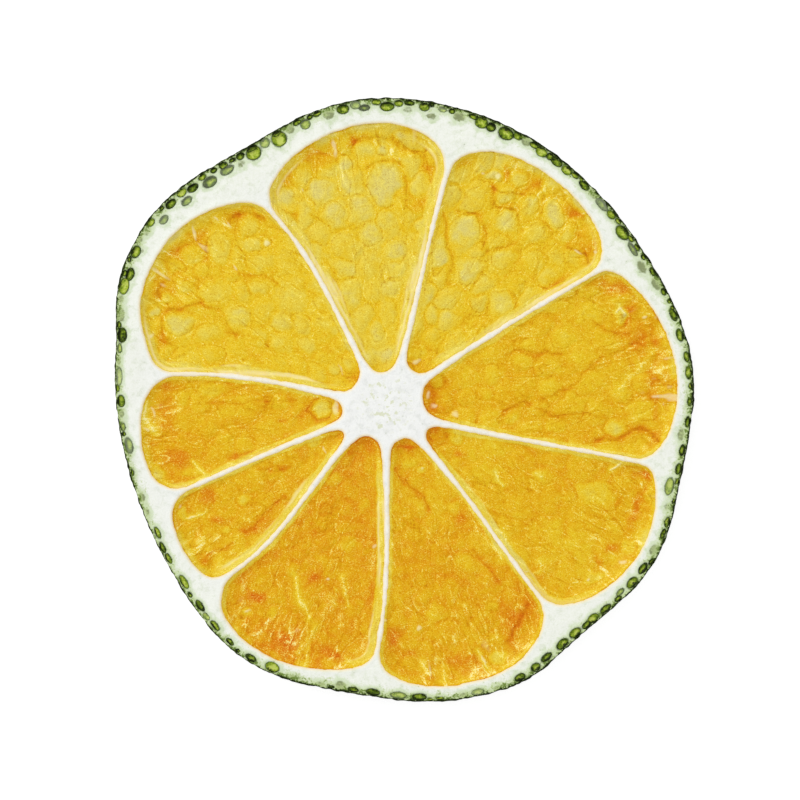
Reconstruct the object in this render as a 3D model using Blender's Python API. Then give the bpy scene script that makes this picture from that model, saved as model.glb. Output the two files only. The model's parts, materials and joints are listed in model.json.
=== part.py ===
"""A dried orange slice, cut straight across the fruit and lying on one of its cut faces.

The rind, the white pith, the nine membranes and the core are one tissue, so they are one solid. Each of the nine
cells between the membranes holds the dried pulp of one segment, which is a solid of its own and runs through the
slice from one cut face to the other.

Everything is laid out in polar coordinates round the core, in millimetres and degrees, and is turned into metres
when a point is made. +Z is up. The origin is under the middle of the slice, on the surface that it lies on. The
core is not in the middle, because the fruit grew unevenly.
"""

import math

import bmesh
import bpy

MM = 0.001

# The skin's distance from the core in the directions where its outline bulges, dents or flattens, counterclockwise
# from +X.
SKIN_SHAPE = (
    (9, 31.6), (31, 30.8), (70, 31.4), (97, 31.6), (119, 30.3), (143, 31.1),
    (156, 30.2), (166, 28.6), (177, 27.9), (198, 27.2), (216, 27.7), (241, 29.7),
    (264, 29.6), (284, 30.9), (297, 31.4), (309, 30.7), (331, 31.7), (347, 31.0),
)

# Each membrane's direction at the three stations, which are radii, counterclockwise. Past the last radius it runs
# straight out.
MEMBRANE_STATIONS = (7.0, 15.0, 24.0)
STRAIGHT_FROM = 27.0
MEMBRANES = (
    (-15.8, -13.4, -12.3),
    (36.0, 34.3, 33.0),
    (73.6, 75.4, 75.7),
    (118.8, 117.9, 121.2),
    (167.0, 168.4, 172.3),
    (200.2, 201.6, 202.4),
    (223.6, 228.6, 226.3),
    (269.4, 269.9, 268.0),
    (313.6, 310.5, 308.8),
)

# The cell that follows each membrane, as (tip, first margin, second margin, first corner, second corner). The tip
# is the radius where the cell starts. A margin is the thickness of pith and rind outside it, at its first and its
# second side. A corner is how far the outer end falls back there.
CELLS = (
    (3.8, 1.3, 2.4, 4.4, 3.0),
    (4.6, 1.8, 2.6, 4.8, 4.6),
    (3.6, 2.1, 3.4, 6.0, 5.0),
    (4.0, 3.4, 2.2, 3.4, 4.2),
    (4.6, 2.7, 1.4, 3.8, 4.6),
    (5.2, 2.4, 2.0, 3.0, 2.2),
    (3.5, 1.4, 1.7, 5.0, 3.2),
    (3.6, 1.2, 2.1, 4.4, 4.0),
    (4.8, 2.1, 1.6, 4.4, 2.8),
)
TIP_CORNER = 1.4
CORNER_POWER = 2.6

# A membrane is a thin sheet that swells where it grows out of the core: it is thicker by the swell at the root's
# radius, and the swell fades over the reach.
MEMBRANE_THICKNESS = 0.5
MEMBRANE_SWELL = 0.5
MEMBRANE_ROOT = 4.4
MEMBRANE_SWELL_REACH = 3.0

# Heights above the surface that the slice lies on. The membranes dip between the core and the pith.
CORE_HEIGHT = 3.1
MEMBRANE_HEIGHT = 2.7
PITH_HEIGHT = 3.4
DIP_START = 4.0
DIP_END = 27.0
PULP_UNDERSIDE = 0.5
PULP_HEIGHT = 2.3
PULP_SAG = 0.3

# How far each edge is softened, the room left between the pulp and its cell, and the share of the pulp's size that
# lies sagged inside its edge.
EDGE = 0.25
SKIN_EDGE = 0.5
PULP_EDGE = 0.35
GAP = 0.3
PULP_SHOULDER = 0.8
SHARP_ANGLE = 40.0

SKIN_POINTS = 144
SIDE_POINTS = 8
END_POINTS = 16
TIP_POINTS = 7

MATERIALS = {
    "pith": ((0.84, 0.86, 0.77), 0.7),
    "rind_skin": ((0.05, 0.09, 0.02), 0.55),
    "pulp": ((0.80, 0.46, 0.04), 0.35),
}


def clear_scene():
    for thing in list(bpy.data.objects):
        bpy.data.objects.remove(thing, do_unlink=True)


def make_material(name):
    """A Principled material of the colour and roughness listed above."""
    colour, roughness = MATERIALS[name]
    material = bpy.data.materials.new(name)
    material.use_nodes = True
    shader = material.node_tree.nodes["Principled BSDF"]
    shader.inputs["Base Color"].default_value = (*colour, 1.0)
    shader.inputs["Roughness"].default_value = roughness
    shader.inputs["Metallic"].default_value = 0.0


def skin_radius(degrees):
    """The skin's distance from the core, on a smooth closed curve through SKIN_SHAPE."""
    place = degrees % 360.0
    count = len(SKIN_SHAPE)
    passed = sum(angle <= place for angle, _ in SKIN_SHAPE)
    spots = []
    for k in range(passed - 2, passed + 2):
        angle, radius = SKIN_SHAPE[k % count]
        spots.append((angle + k // count * 360.0, radius))
    steps = [after[0] - here[0] for here, after in zip(spots, spots[1:])]
    rates = [(after[1] - here[1]) / step for here, after, step in zip(spots, spots[1:], steps)]
    slope_here = (rates[0] * steps[1] + rates[1] * steps[0]) / (steps[0] + steps[1]) * steps[1]
    slope_there = (rates[1] * steps[2] + rates[2] * steps[1]) / (steps[1] + steps[2]) * steps[1]
    here = spots[1][1]
    rise = spots[2][1] - here
    t = (place - spots[1][0]) / steps[1]
    return here + slope_here * t + (3 * rise - 2 * slope_here - slope_there) * t**2 + (
        slope_here + slope_there - 2 * rise
    ) * t**3


def membrane_direction(membrane, radius):
    """The direction of a membrane's middle at a radius, on the parabola through its three stations."""
    total = 0.0
    for here, angle in zip(MEMBRANE_STATIONS, MEMBRANES[membrane]):
        share = 1.0
        for other in MEMBRANE_STATIONS:
            if other != here:
                share *= (min(radius, STRAIGHT_FROM) - other) / (here - other)
        total += angle * share
    return total


def membrane_thickness(radius):
    return MEMBRANE_THICKNESS + MEMBRANE_SWELL * math.exp((MEMBRANE_ROOT - radius) / MEMBRANE_SWELL_REACH)


def cell_point(cell, across, radius, gap):
    """A point of a cell, in millimetres round the core. Across runs from 0 at its first membrane to 1 at the next."""
    first = membrane_direction(cell, radius)
    second = membrane_direction((cell + 1) % len(MEMBRANES), radius)
    if second < first:
        second += 360.0
    inset = math.degrees((membrane_thickness(radius) / 2 + gap) / radius)
    angle = math.radians(first + inset + (second - first - 2 * inset) * across)
    return radius * math.cos(angle), radius * math.sin(angle)


def rounded(turn):
    """A place along a rounded end: (across from 0 to 1, fall back from 1 at the sides to 0 in the middle)."""
    along = math.cos(math.pi * (1 - turn))
    reach = math.copysign(abs(along) ** (2 / CORNER_POWER), along)
    fall = 1 - abs(math.sin(math.pi * turn)) ** (2 / CORNER_POWER)
    return (1 + reach) / 2, fall


def cell_outline(cell, gap=0.0):
    """The closed outline of a cell, counterclockwise, drawn in by the gap: first side, outer end, second side, tip."""
    tip, first_margin, second_margin, first_corner, second_corner = CELLS[cell]

    def end_radius(across, fall):
        margin = first_margin + (second_margin - first_margin) * across
        corner = first_corner + (second_corner - first_corner) * across
        x, y = cell_point(cell, across, STRAIGHT_FROM, 0.0)
        return skin_radius(math.degrees(math.atan2(y, x))) - margin - corner * fall - gap

    tip_radius = tip + gap + TIP_CORNER
    places = []
    for k in range(SIDE_POINTS):
        share = (k + 0.5) / SIDE_POINTS
        places.append((0.0, tip_radius + (end_radius(0.0, 1.0) - tip_radius) * share))
    for k in range(END_POINTS + 1):
        across, fall = rounded(k / END_POINTS)
        places.append((across, end_radius(across, fall)))
    for k in reversed(range(SIDE_POINTS)):
        share = (k + 0.5) / SIDE_POINTS
        places.append((1.0, tip_radius + (end_radius(1.0, 1.0) - tip_radius) * share))
    for k in reversed(range(TIP_POINTS + 1)):
        across, fall = rounded(k / TIP_POINTS)
        places.append((across, tip + gap + TIP_CORNER * fall))
    return [cell_point(cell, across, radius, gap) for across, radius in places]


def skin_outline(inset=0.0):
    """The closed outline of the whole slice, counterclockwise, drawn in by the inset."""
    outline = []
    for k in range(SKIN_POINTS):
        degrees = 360.0 * k / SKIN_POINTS
        radius = skin_radius(degrees) - inset
        outline.append((radius * math.cos(math.radians(degrees)), radius * math.sin(math.radians(degrees))))
    return outline


def drawn_in(outline, share):
    """The outline drawn towards its own middle, to that share of its size."""
    middle_x = sum(x for x, y in outline) / len(outline)
    middle_y = sum(y for x, y in outline) / len(outline)
    return [(middle_x + (x - middle_x) * share, middle_y + (y - middle_y) * share) for x, y in outline]


def tissue_height(x, y):
    """The upper face of the white tissue: the membranes dried down lower than the core and the pith."""
    radius = math.hypot(x, y)
    along = (min(max(radius, DIP_START), DIP_END) - DIP_START) / (DIP_END - DIP_START)
    ends = CORE_HEIGHT + (PITH_HEIGHT - CORE_HEIGHT) * along
    depth = (CORE_HEIGHT + PITH_HEIGHT) / 2 - MEMBRANE_HEIGHT
    return ends - depth * math.sin(math.pi * along)


def add_ring(shape, outline, height):
    """Points at a height, which is a number or a function of x and y, joined in a loop of edges."""
    ring = []
    for x, y in outline:
        z = height(x, y) if callable(height) else height
        ring.append(shape.verts.new((x * MM, y * MM, z * MM)))
    for k, here in enumerate(ring):
        shape.edges.new((here, ring[(k + 1) % len(ring)]))
    return ring


def add_wall(shape, lower, upper, slot=0):
    """The strip of faces between two rings of as many points, facing out of a counterclockwise outline."""
    for k in range(len(lower)):
        after = (k + 1) % len(lower)
        face = shape.faces.new((lower[k], lower[after], upper[after], upper[k]))
        face.material_index = slot
        face.smooth = True


def add_cap(shape, rings):
    """Fills the area inside the first ring and outside the others with triangles."""
    edges = []
    for ring in rings:
        for k, here in enumerate(ring):
            edges.append(shape.edges.get((here, ring[(k + 1) % len(ring)])))
    bmesh.ops.triangle_fill(shape, use_beauty=True, use_dissolve=False, edges=edges)


def finish_object(shape, name, material_names, parent):
    """Makes a named object of the shape, with its faces turned out and its sharp edges kept."""
    bmesh.ops.recalc_face_normals(shape, faces=shape.faces)
    mesh = bpy.data.meshes.new(name)
    shape.to_mesh(mesh)
    shape.free()
    for material_name in material_names:
        mesh.materials.append(bpy.data.materials[material_name])
    mesh.shade_smooth()
    mesh.set_sharp_from_angle(angle=math.radians(SHARP_ANGLE))
    thing = bpy.data.objects.new(name, mesh)
    thing.parent = parent
    bpy.context.scene.collection.objects.link(thing)


def make_rind_and_pith(parent):
    """The white tissue with its green skin: a plate with nine cells through it and softened edges."""
    shape = bmesh.new()
    lowest = []
    highest = []

    rings = [
        add_ring(shape, skin_outline(SKIN_EDGE), 0.0),
        add_ring(shape, skin_outline(), SKIN_EDGE),
        add_ring(shape, skin_outline(), PITH_HEIGHT - SKIN_EDGE),
        add_ring(shape, skin_outline(SKIN_EDGE), tissue_height),
    ]
    for lower, upper in zip(rings, rings[1:]):
        add_wall(shape, lower, upper, slot=1)
    lowest.append(rings[0])
    highest.append(rings[-1])

    for cell in range(len(CELLS)):
        rings = [
            add_ring(shape, cell_outline(cell, -EDGE / 2), 0.0),
            add_ring(shape, cell_outline(cell), EDGE),
            add_ring(shape, cell_outline(cell), lambda x, y: tissue_height(x, y) - EDGE),
            add_ring(shape, cell_outline(cell, -EDGE / 2), tissue_height),
        ]
        for lower, upper in zip(rings, rings[1:]):
            add_wall(shape, upper, lower)
        lowest.append(rings[0])
        highest.append(rings[-1])

    add_cap(shape, lowest)
    add_cap(shape, highest)
    finish_object(shape, "rind_and_pith", ("pith", "rind_skin"), parent)


def make_pulp(cell, parent):
    """The dried pulp of one segment: it fills its cell, thinner than the tissue round it and sagging between."""
    shape = bmesh.new()
    middle = (PULP_UNDERSIDE + PULP_HEIGHT) / 2
    widest = cell_outline(cell, GAP)
    edge = cell_outline(cell, GAP + PULP_EDGE)
    shoulder = drawn_in(edge, PULP_SHOULDER)
    rings = [
        add_ring(shape, shoulder, PULP_UNDERSIDE + PULP_SAG),
        add_ring(shape, edge, PULP_UNDERSIDE),
        add_ring(shape, widest, middle),
        add_ring(shape, edge, PULP_HEIGHT),
        add_ring(shape, shoulder, PULP_HEIGHT - PULP_SAG),
    ]
    for lower, upper in zip(rings, rings[1:]):
        add_wall(shape, lower, upper)
    add_cap(shape, rings[:1])
    add_cap(shape, rings[-1:])
    finish_object(shape, f"pulp_segment_{cell + 1}", ("pulp",), parent)


def make_slice():
    """The whole slice, parented to an empty at its core, which is placed so that the slice is centred."""
    xs, ys = zip(*skin_outline())
    core = bpy.data.objects.new("core", None)
    core.location = (-(min(xs) + max(xs)) / 2 * MM, -(min(ys) + max(ys)) / 2 * MM, 0.0)
    bpy.context.scene.collection.objects.link(core)
    make_rind_and_pith(core)
    for cell in range(len(CELLS)):
        make_pulp(cell, core)


clear_scene()
for material_name in MATERIALS:
    make_material(material_name)
make_slice()
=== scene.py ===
# %% [markdown]
# # A dried orange slice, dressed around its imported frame
#
# The slice was cut straight across a green-skinned orange and dried flat. From outside to inside it has a
# thin dark skin, a ring of oil glands in pale green tissue, white pith, nine cells of dried pulp between
# thin white membranes, and a white core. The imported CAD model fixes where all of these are. This lesson
# builds the surfaces that show, on the frame's own outlines, and gives each one its finish.

# %% Load the frame
import json
import math

import bmesh
import bpy
import numpy as np
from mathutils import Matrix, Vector, geometry, kdtree, noise


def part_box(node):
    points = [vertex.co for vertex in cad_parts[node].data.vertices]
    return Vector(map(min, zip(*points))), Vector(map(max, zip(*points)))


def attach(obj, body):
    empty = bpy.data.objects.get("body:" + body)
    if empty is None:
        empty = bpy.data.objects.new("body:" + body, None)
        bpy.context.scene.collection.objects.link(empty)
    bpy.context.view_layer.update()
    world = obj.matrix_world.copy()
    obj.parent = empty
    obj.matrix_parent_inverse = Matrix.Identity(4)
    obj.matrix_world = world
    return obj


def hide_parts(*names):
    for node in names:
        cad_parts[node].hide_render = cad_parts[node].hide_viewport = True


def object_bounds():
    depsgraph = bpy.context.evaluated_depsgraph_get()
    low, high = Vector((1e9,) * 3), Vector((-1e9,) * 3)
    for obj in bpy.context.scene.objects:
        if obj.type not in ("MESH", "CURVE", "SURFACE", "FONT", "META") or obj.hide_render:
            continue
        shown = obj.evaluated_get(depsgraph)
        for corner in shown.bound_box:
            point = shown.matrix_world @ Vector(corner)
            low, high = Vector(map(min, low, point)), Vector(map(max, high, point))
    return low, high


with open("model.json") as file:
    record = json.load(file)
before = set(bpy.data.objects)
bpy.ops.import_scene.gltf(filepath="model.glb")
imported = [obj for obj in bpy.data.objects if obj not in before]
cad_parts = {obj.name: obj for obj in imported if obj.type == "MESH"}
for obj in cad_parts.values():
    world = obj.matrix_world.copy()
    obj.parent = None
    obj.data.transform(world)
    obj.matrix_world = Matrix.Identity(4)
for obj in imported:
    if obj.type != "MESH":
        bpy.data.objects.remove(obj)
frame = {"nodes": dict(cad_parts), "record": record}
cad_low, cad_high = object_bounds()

MM = 0.001
thickness = cad_high.z / MM
print(f"frame: {len(frame['nodes'])} nodes, {thickness:.2f} mm thick")

# %% [markdown]
# ## Where the core is
#
# The fruit grew unevenly, so its core isn't in the middle of the slice. The record's resting face lies
# under the core, so its place is read from there. Places below are in millimetres right of and above the
# core, because a maker measures a fruit from its core. They turn into metres when a piece is made.

# %% The core's place
rest_face = next(m for m in frame["record"]["mounts"] if m["name"] == "rest_face")
core = np.array(rest_face["pos_m"][:2]) / MM
core_foot = np.array([*core, 0.0])
print("core at", core, "mm")

# %% [markdown]
# ## Outlines from the frame
#
# Every piece here follows the outline of the skin or of a cell. They could be typed in again, but then they
# could drift from the CAD. Instead they are read from it: the walls of the white tissue are upright, so the
# lower ends of its upright edges are the outlines. A CAD node is loose triangles, so a merged copy is
# searched.

# %% Read the loops
LEAST_WALL = 1.0  # mm: a lower edge than this is a step in the face, not a wall
NO_LENGTH = 1e-6  # two points nearer than this are the same point


def upright_loops(node):
    """The rows of points where a node's upright walls start, counterclockwise, in mm round the core."""
    shape = bmesh.new()
    shape.from_mesh(frame["nodes"][node].data)
    bmesh.ops.remove_doubles(shape, verts=shape.verts, dist=NO_LENGTH)
    feet = set()
    for edge in shape.edges:
        low, high = sorted(edge.verts, key=lambda v: v.co.z)
        upright = (high.co.xy - low.co.xy).length < NO_LENGTH
        if upright and high.co.z - low.co.z > LEAST_WALL * MM:
            feet.add(low)
    loops = []
    while feet:
        here = min(feet, key=lambda v: v.index)
        row = []
        while here is not None:
            feet.remove(here)
            row.append((here.co.x / MM - core[0], here.co.y / MM - core[1]))
            beside = [e.other_vert(here) for e in here.link_edges]
            here = next((v for v in beside if v in feet), None)
        loops.append(np.array(row))
    shape.free()
    return [row if signed_area(row) > 0 else row[::-1] for row in loops]


def signed_area(row):
    """The area inside a row of points, above zero if it runs counterclockwise."""
    x, y = row.T
    return float(np.sum(x * np.roll(y, -1) - np.roll(x, -1) * y) / 2)


loops = sorted(upright_loops("rind_and_pith"), key=signed_area)
skin_row = loops.pop()
print("skin area", round(signed_area(skin_row)), "mm2, cells", [round(signed_area(row)) for row in loops])

# %% [markdown]
# ## Soft noise
#
# Nothing in a fruit is even. The heights and colours that belong to the mesh get their unevenness from a
# small noise: random numbers on a square lattice, blended smoothly between its corners. A fixed seed gives
# the same numbers on each run. Two helpers turn it into what a fruit shows: patches, and thin lines where
# it crosses zero.

# %% Noise on a lattice
LATTICE = 96


def ease(value, start, end):
    """0 before start, 1 past end, and a smooth rise between."""
    t = np.clip((value - start) / (end - start), 0, 1)
    return t * t * (3 - 2 * t)


def soft_noise(x, y, size, seed):
    """Smooth noise from -1 to 1 whose bumps are about as wide as the size."""
    grid = np.random.default_rng(seed).uniform(-1, 1, (LATTICE, LATTICE))
    u = x / size + 11.3 + 0.37 * seed
    v = y / size + 7.9 + 0.61 * seed
    i = np.floor(u).astype(int)
    j = np.floor(v).astype(int)
    a = ease(u - i, 0, 1)
    b = ease(v - j, 0, 1)
    corners = [[grid[(i + di) % LATTICE, (j + dj) % LATTICE] for di in (0, 1)] for dj in (0, 1)]
    low, high = [left * (1 - a) + right * a for left, right in corners]
    return low * (1 - b) + high * b


def rough_noise(x, y, size, seed, octaves=3):
    """Noise with finer noise on it, each octave half as wide and half as strong."""
    total = sum(soft_noise(x, y, size / 2**k, seed + 17 * k) / 2**k for k in range(octaves))
    return total / 1.5


def patches(x, y, size, seed, start, end):
    """1 inside soft patches about as wide as the size, and 0 between them."""
    return ease(soft_noise(x, y, size, seed), start, end)


def soft_line(away, width):
    """1 on a line, and 0 further from it than about twice the width."""
    return np.exp(-((away / width) ** 2))


# %% [markdown]
# ## Smooth outlines
#
# The CAD outlines are polygons with corners a millimetre or two apart, which is right for a solid but would
# show as flats. Each one is redrawn as a smooth closed curve through the same points, with a new point
# every fraction of a millimetre. The slope at each point comes from its two neighbours, weighted by how
# near they are.

# %% Smooth a closed row of points
CURVE_STEP = 0.04


def smooth_loop(row, step):
    """Points about every step along a smooth closed curve through the row."""
    ahead = np.roll(row, -1, 0)
    behind = np.roll(row, 1, 0)
    run = np.linalg.norm(ahead - row, axis=1)[:, None]
    past = np.roll(run, 1, 0)
    slope = ((row - behind) / past * run + (ahead - row) / run * past) / (run + past)
    fine = []
    for k in range(len(row)):
        t = np.linspace(0, 1, max(2, math.ceil(run[k, 0] / CURVE_STEP)), endpoint=False)[:, None]
        after = (k + 1) % len(row)
        rise = ahead[k] - row[k]
        a = slope[k] * run[k]
        b = slope[after] * run[k]
        fine.append(row[k] + a * t + (3 * rise - 2 * a - b) * t**2 + (a + b - 2 * rise) * t**3)
    fine = np.vstack(fine + [fine[0][:1]])
    length = np.concatenate([[0], np.cumsum(np.linalg.norm(np.diff(fine, axis=0), axis=1))])
    places = np.linspace(0, length[-1], round(length[-1] / step), endpoint=False)
    return np.column_stack([np.interp(places, length, fine[:, k]) for k in (0, 1)])


def outward(row):
    """The unit direction out of a counterclockwise row, at each of its points."""
    along = np.roll(row, -1, 0) - np.roll(row, 1, 0)
    out = np.column_stack([along[:, 1], -along[:, 0]])
    return out / np.linalg.norm(out, axis=1)[:, None]


FINE = 0.05
skin_line = smooth_loop(skin_row, FINE)
pulp_nodes = [name for name in sorted(frame["nodes"]) if name.startswith("pulp_segment_")]
cell_rows = {}
for name in pulp_nodes:
    low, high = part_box(name)
    middle = np.array(((low + high) / 2).xy) / MM - core
    apart = [np.linalg.norm((row.max(0) + row.min(0)) / 2 - middle) for row in loops]
    cell_rows[name] = loops.pop(int(np.argmin(apart)))


def frayed(line):
    """A line that wavers by about a twentieth of a millimetre, as a cut through fibres does."""
    x, y = line.T
    waver = 0.05 * soft_noise(x, y, 1.3, 90) + 0.04 * soft_noise(x, y, 0.6, 91)
    return line + outward(line) * waver[:, None]


cell_lines = {name: frayed(smooth_loop(row, FINE)) for name, row in cell_rows.items()}
print("skin line", len(skin_line), "points;", len(cell_lines), "cells matched to their pulp")

# %% [markdown]
# ## Measuring from the outlines
#
# How far a place is from the skin and from the nearest cell wall decides nearly everything about it: its
# height, its colour, its texture. A k-d tree answers "which outline point is nearest" quickly for many
# thousand places.

# %% Distances


def nearest_finder(points):
    """A k-d tree of flat points."""
    tree = kdtree.KDTree(len(points))
    for k, (x, y) in enumerate(points):
        tree.insert((x, y, 0.0), k)
    tree.balance()
    return tree


def distances(places, rows):
    """The distance from each place to the nearest point of the rows."""
    tree = nearest_finder(np.vstack(rows))
    return np.array([tree.find((x, y, 0.0))[2] for x, y in places])


def inside(places, row):
    """Which of the places lie inside a closed row of points."""
    x, y = places.T
    found = np.zeros(len(places), bool)
    for (ax, ay), (bx, by) in zip(row, np.roll(row, -1, 0)):
        if ay != by:
            crosses = (ay > y) != (by > y)
            found ^= crosses & (x < (bx - ax) * (y - ay) / (by - ay) + ax)
    return found


# %% [markdown]
# ## A flat blank to shape
#
# The white tissue and the pulp are both thin plates with an odd outline, and their detail is small compared
# with their width. A grid of quads would have ragged ends there, and a triangle fill would have long
# slivers. A constrained Delaunay triangulation takes the outlines as edges that it must keep and an even
# spread of points between, and gives well shaped triangles right up to the edge.

# %% Triangulate a plate


def spread_points(outline, spacing, seed):
    """Points in a honeycomb layout over the outline's box, each one nudged a little so that no rows show."""
    low = outline.min(0)
    high = outline.max(0)
    rows = np.arange(low[1], high[1], spacing * math.sqrt(3) / 2)
    columns = np.arange(low[0], high[0], spacing)
    x, y = np.meshgrid(columns, rows)
    x[1::2] += spacing / 2
    nudge = np.random.default_rng(seed).uniform(-0.16, 0.16, (2, *x.shape)) * spacing
    return np.column_stack([(x + nudge[0]).ravel(), (y + nudge[1]).ravel()])


def flat_blank(outer, holes, spacing, seed, rim_row=0.0):
    """(places, triangles, rings): a triangulated plate. Each ring lists the places on one outline."""
    places = spread_points(outer, spacing, seed)
    keep = inside(places, outer[::4])  # every fourth point is fine enough to tell inside from outside
    for row in holes:
        near = np.flatnonzero(keep)
        keep[near[inside(places[near], row[::4])]] = False
    places = places[keep]
    rows = [outer, *holes]
    outlines = [smooth_loop(row[::5], spacing) for row in rows]
    clear = distances(places, rows)
    places = places[clear > rim_row + spacing * 0.6]
    if rim_row:
        inner = [row + outward(row) * rim_row * (-1 if k == 0 else 1) for k, row in enumerate(outlines)]
        places = np.vstack([places, *inner])
    rings = []
    count = 0
    for row in outlines:
        rings.append(list(range(count, count + len(row))))
        count += len(row)
    points = [Vector(p) for p in np.vstack([*outlines, places])]
    edges = [(ring[k], ring[(k + 1) % len(ring)]) for ring in rings for k in range(len(ring))]
    made = geometry.delaunay_2d_cdt(points, edges, [], 1, NO_LENGTH, True)
    flat = np.array([tuple(p) for p in made[0]])
    triangles = np.array(made[2])
    middles = flat[triangles].mean(1)
    solid = inside(middles, outlines[0])
    for ring in outlines[1:]:
        solid &= ~inside(middles, ring)
    came_from = {source: k for k, sources in enumerate(made[3]) for source in sources}
    rings = [[came_from[k] for k in ring] for ring in rings]
    return flat, triangles[solid], rings


# %% [markdown]
# ## From blank to closed plate
#
# A plate has an upper face, a lower face and walls along its outlines. The lower face is the same blank
# turned over, and the walls are strips between the matching rings, in a few rows so that their triangles
# aren't slivers. The result is closed, with every face pointing out.

# %% Close a plate


def closed_plate(name, flat, triangles, rings, top, bottom, wall_rows):
    """An object made of a blank with heights for its top and bottom. Attributes are added afterwards."""
    count = len(flat)
    points = [np.column_stack([flat, top]), np.column_stack([flat, bottom])]
    a, b, c = triangles.T
    turn = np.cross(flat[b] - flat[a], flat[c] - flat[a]) < 0
    triangles = np.where(turn[:, None], triangles[:, ::-1], triangles)
    faces = [triangles, triangles[:, ::-1] + count]
    total = 2 * count
    for k, ring in enumerate(rings):
        ring = np.array(ring)
        levels = [ring + count]
        for row in range(1, wall_rows):
            share = row / wall_rows
            height = bottom[ring] * (1 - share) + top[ring] * share
            points.append(np.column_stack([flat[ring], height]))
            levels.append(np.arange(total, total + len(ring)))
            total += len(ring)
        levels.append(ring)
        for lower, upper in zip(levels, levels[1:]):
            lower_next = np.roll(lower, -1)
            upper_next = np.roll(upper, -1)
            one = np.column_stack([lower, lower_next, upper_next])
            two = np.column_stack([lower, upper_next, upper])
            strip = np.vstack([one, two])
            faces.append(strip if k == 0 else strip[:, ::-1])
    return new_piece(name, np.vstack(points), np.vstack(faces))


def in_scene(name, data):
    """A new object for a mesh, a camera or a lamp, linked to the scene."""
    made = bpy.data.objects.new(name, data)
    bpy.context.scene.collection.objects.link(made)
    return made


def new_piece(name, points, faces):
    """A smooth-shaded mesh object at the origin, from points in mm round the core."""
    mesh = bpy.data.meshes.new(name)
    mesh.vertices.add(len(points))
    metres = (points + core_foot) * MM
    mesh.vertices.foreach_set("co", metres.astype(np.float32).ravel())
    sides = faces.shape[1]
    mesh.loops.add(len(faces) * sides)
    mesh.loops.foreach_set("vertex_index", faces.astype(np.int32).ravel())
    mesh.polygons.add(len(faces))
    mesh.polygons.foreach_set("loop_start", np.arange(0, len(faces) * sides, sides, dtype=np.int32))
    mesh.update(calc_edges=True)
    mesh.validate()
    mesh.shade_smooth()
    print(f"{name}: {len(mesh.vertices)} points, {len(mesh.polygons)} faces")
    return in_scene(name, mesh)


def places_of(piece):
    """A piece's points in mm round the core, as three columns."""
    co = np.empty(len(piece.data.vertices) * 3, np.float32)
    piece.data.vertices.foreach_get("co", co)
    return co.reshape(-1, 3).astype(float) / MM - core_foot


def put_attribute(piece, name, values):
    """A number or a vector for each point, which a material or a node tree can read."""
    values = np.asarray(values, np.float32)
    kind, key = ("FLOAT", "value") if values.ndim == 1 else ("FLOAT_VECTOR", "vector")
    piece.data.attributes.new(name, kind, "POINT").data.foreach_set(key, values.ravel())


# %% [markdown]
# ## Camera, floor and light
#
# The slice is looked at from straight above, from far enough away to be nearly flat. It lies on a plain
# white table that glows a little, under a wide, even light: almost no shadow, with one large soft lamp that
# gives the relief a slight direction. The standard view transform keeps whites white.

# %% Camera
VIEW_WIDTH = 81.84  # mm across the picture
LENS = 200.0
SENSOR = 36.0
FROM_CORE = (1.33, 0.72)

camera_data = bpy.data.cameras.new("camera_above")
camera_data.lens = LENS
camera_data.sensor_width = SENSOR
camera_data.clip_start = 0.01
camera = in_scene("camera_above", camera_data)
camera.location = [v * MM for v in (*(core + FROM_CORE), thickness + VIEW_WIDTH * LENS / SENSOR)]
bpy.context.scene.camera = camera
bpy.context.scene.view_settings.view_transform = "Standard"
print("camera", round(camera.location.z, 3), "m above the table")

# %% Small helpers for node trees


def add(tree, kind, inputs=None, **settings):
    """Adds a node to a tree, sets what it is, and gives its inputs a value or a link."""
    node = tree.nodes.new(kind)
    for name, value in settings.items():
        setattr(node, name, value)
    for name, value in (inputs or {}).items():
        socket = node.inputs[name]
        if isinstance(value, bpy.types.NodeSocket):
            tree.links.new(value, socket)
        else:
            socket.default_value = value
    return node


def colour(red, green, blue):
    """A colour picked on a screen, from 0 to 255, as the linear values that a shader takes."""
    screen = [v / 255 for v in (red, green, blue)]
    return (*[v / 12.92 if v <= 0.04 else ((v + 0.055) / 1.055) ** 2.4 for v in screen], 1.0)


def combined(tree, operation, first, second):
    """One sum, product or the like of two numbers."""
    return add(tree, "ShaderNodeMath", {0: first, 1: second}, operation=operation).outputs[0]


def new_socket(tree, name, kind, way="INPUT"):
    """Gives a tree or a group one named input or output."""
    return tree.interface.new_socket(name, in_out=way, socket_type="NodeSocket" + kind)


def new_material(name):
    """(material, its node tree, its Principled shader)"""
    material = bpy.data.materials.new(name)
    material.use_nodes = True
    return material, material.node_tree, material.node_tree.nodes["Principled BSDF"]


# %% Floor
FLOOR_SIZE = 3.0
FLOOR_LEVEL = -0.00002  # a hair under the slice, so that the two don't share a plane
TABLE_GLOW = 0.78

half = FLOOR_SIZE / 2
corners = [(x, y, FLOOR_LEVEL) for x, y in ((-half, -half), (half, -half), (half, half), (-half, half))]
floor_mesh = bpy.data.meshes.new("table_top")
floor_mesh.from_pydata(corners, [], [(0, 1, 2, 3)])
floor = in_scene("table_top", floor_mesh)
table_white, tree, shader = new_material("table_white")
shader.inputs["Base Color"].default_value = (0.42, 0.42, 0.42, 1.0)
shader.inputs["Roughness"].default_value = 0.9
shader.inputs["Emission Color"].default_value = (1.0, 1.0, 1.0, 1.0)
shader.inputs["Emission Strength"].default_value = TABLE_GLOW
floor_mesh.materials.append(table_white)

# %% Light
SKY_STRENGTH = 0.76
LAMP_POWER = 2.7
LAMP_SIZE = 0.5
LAMP_PLACE = Vector((-0.45, 0.45, 0.6))

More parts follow.
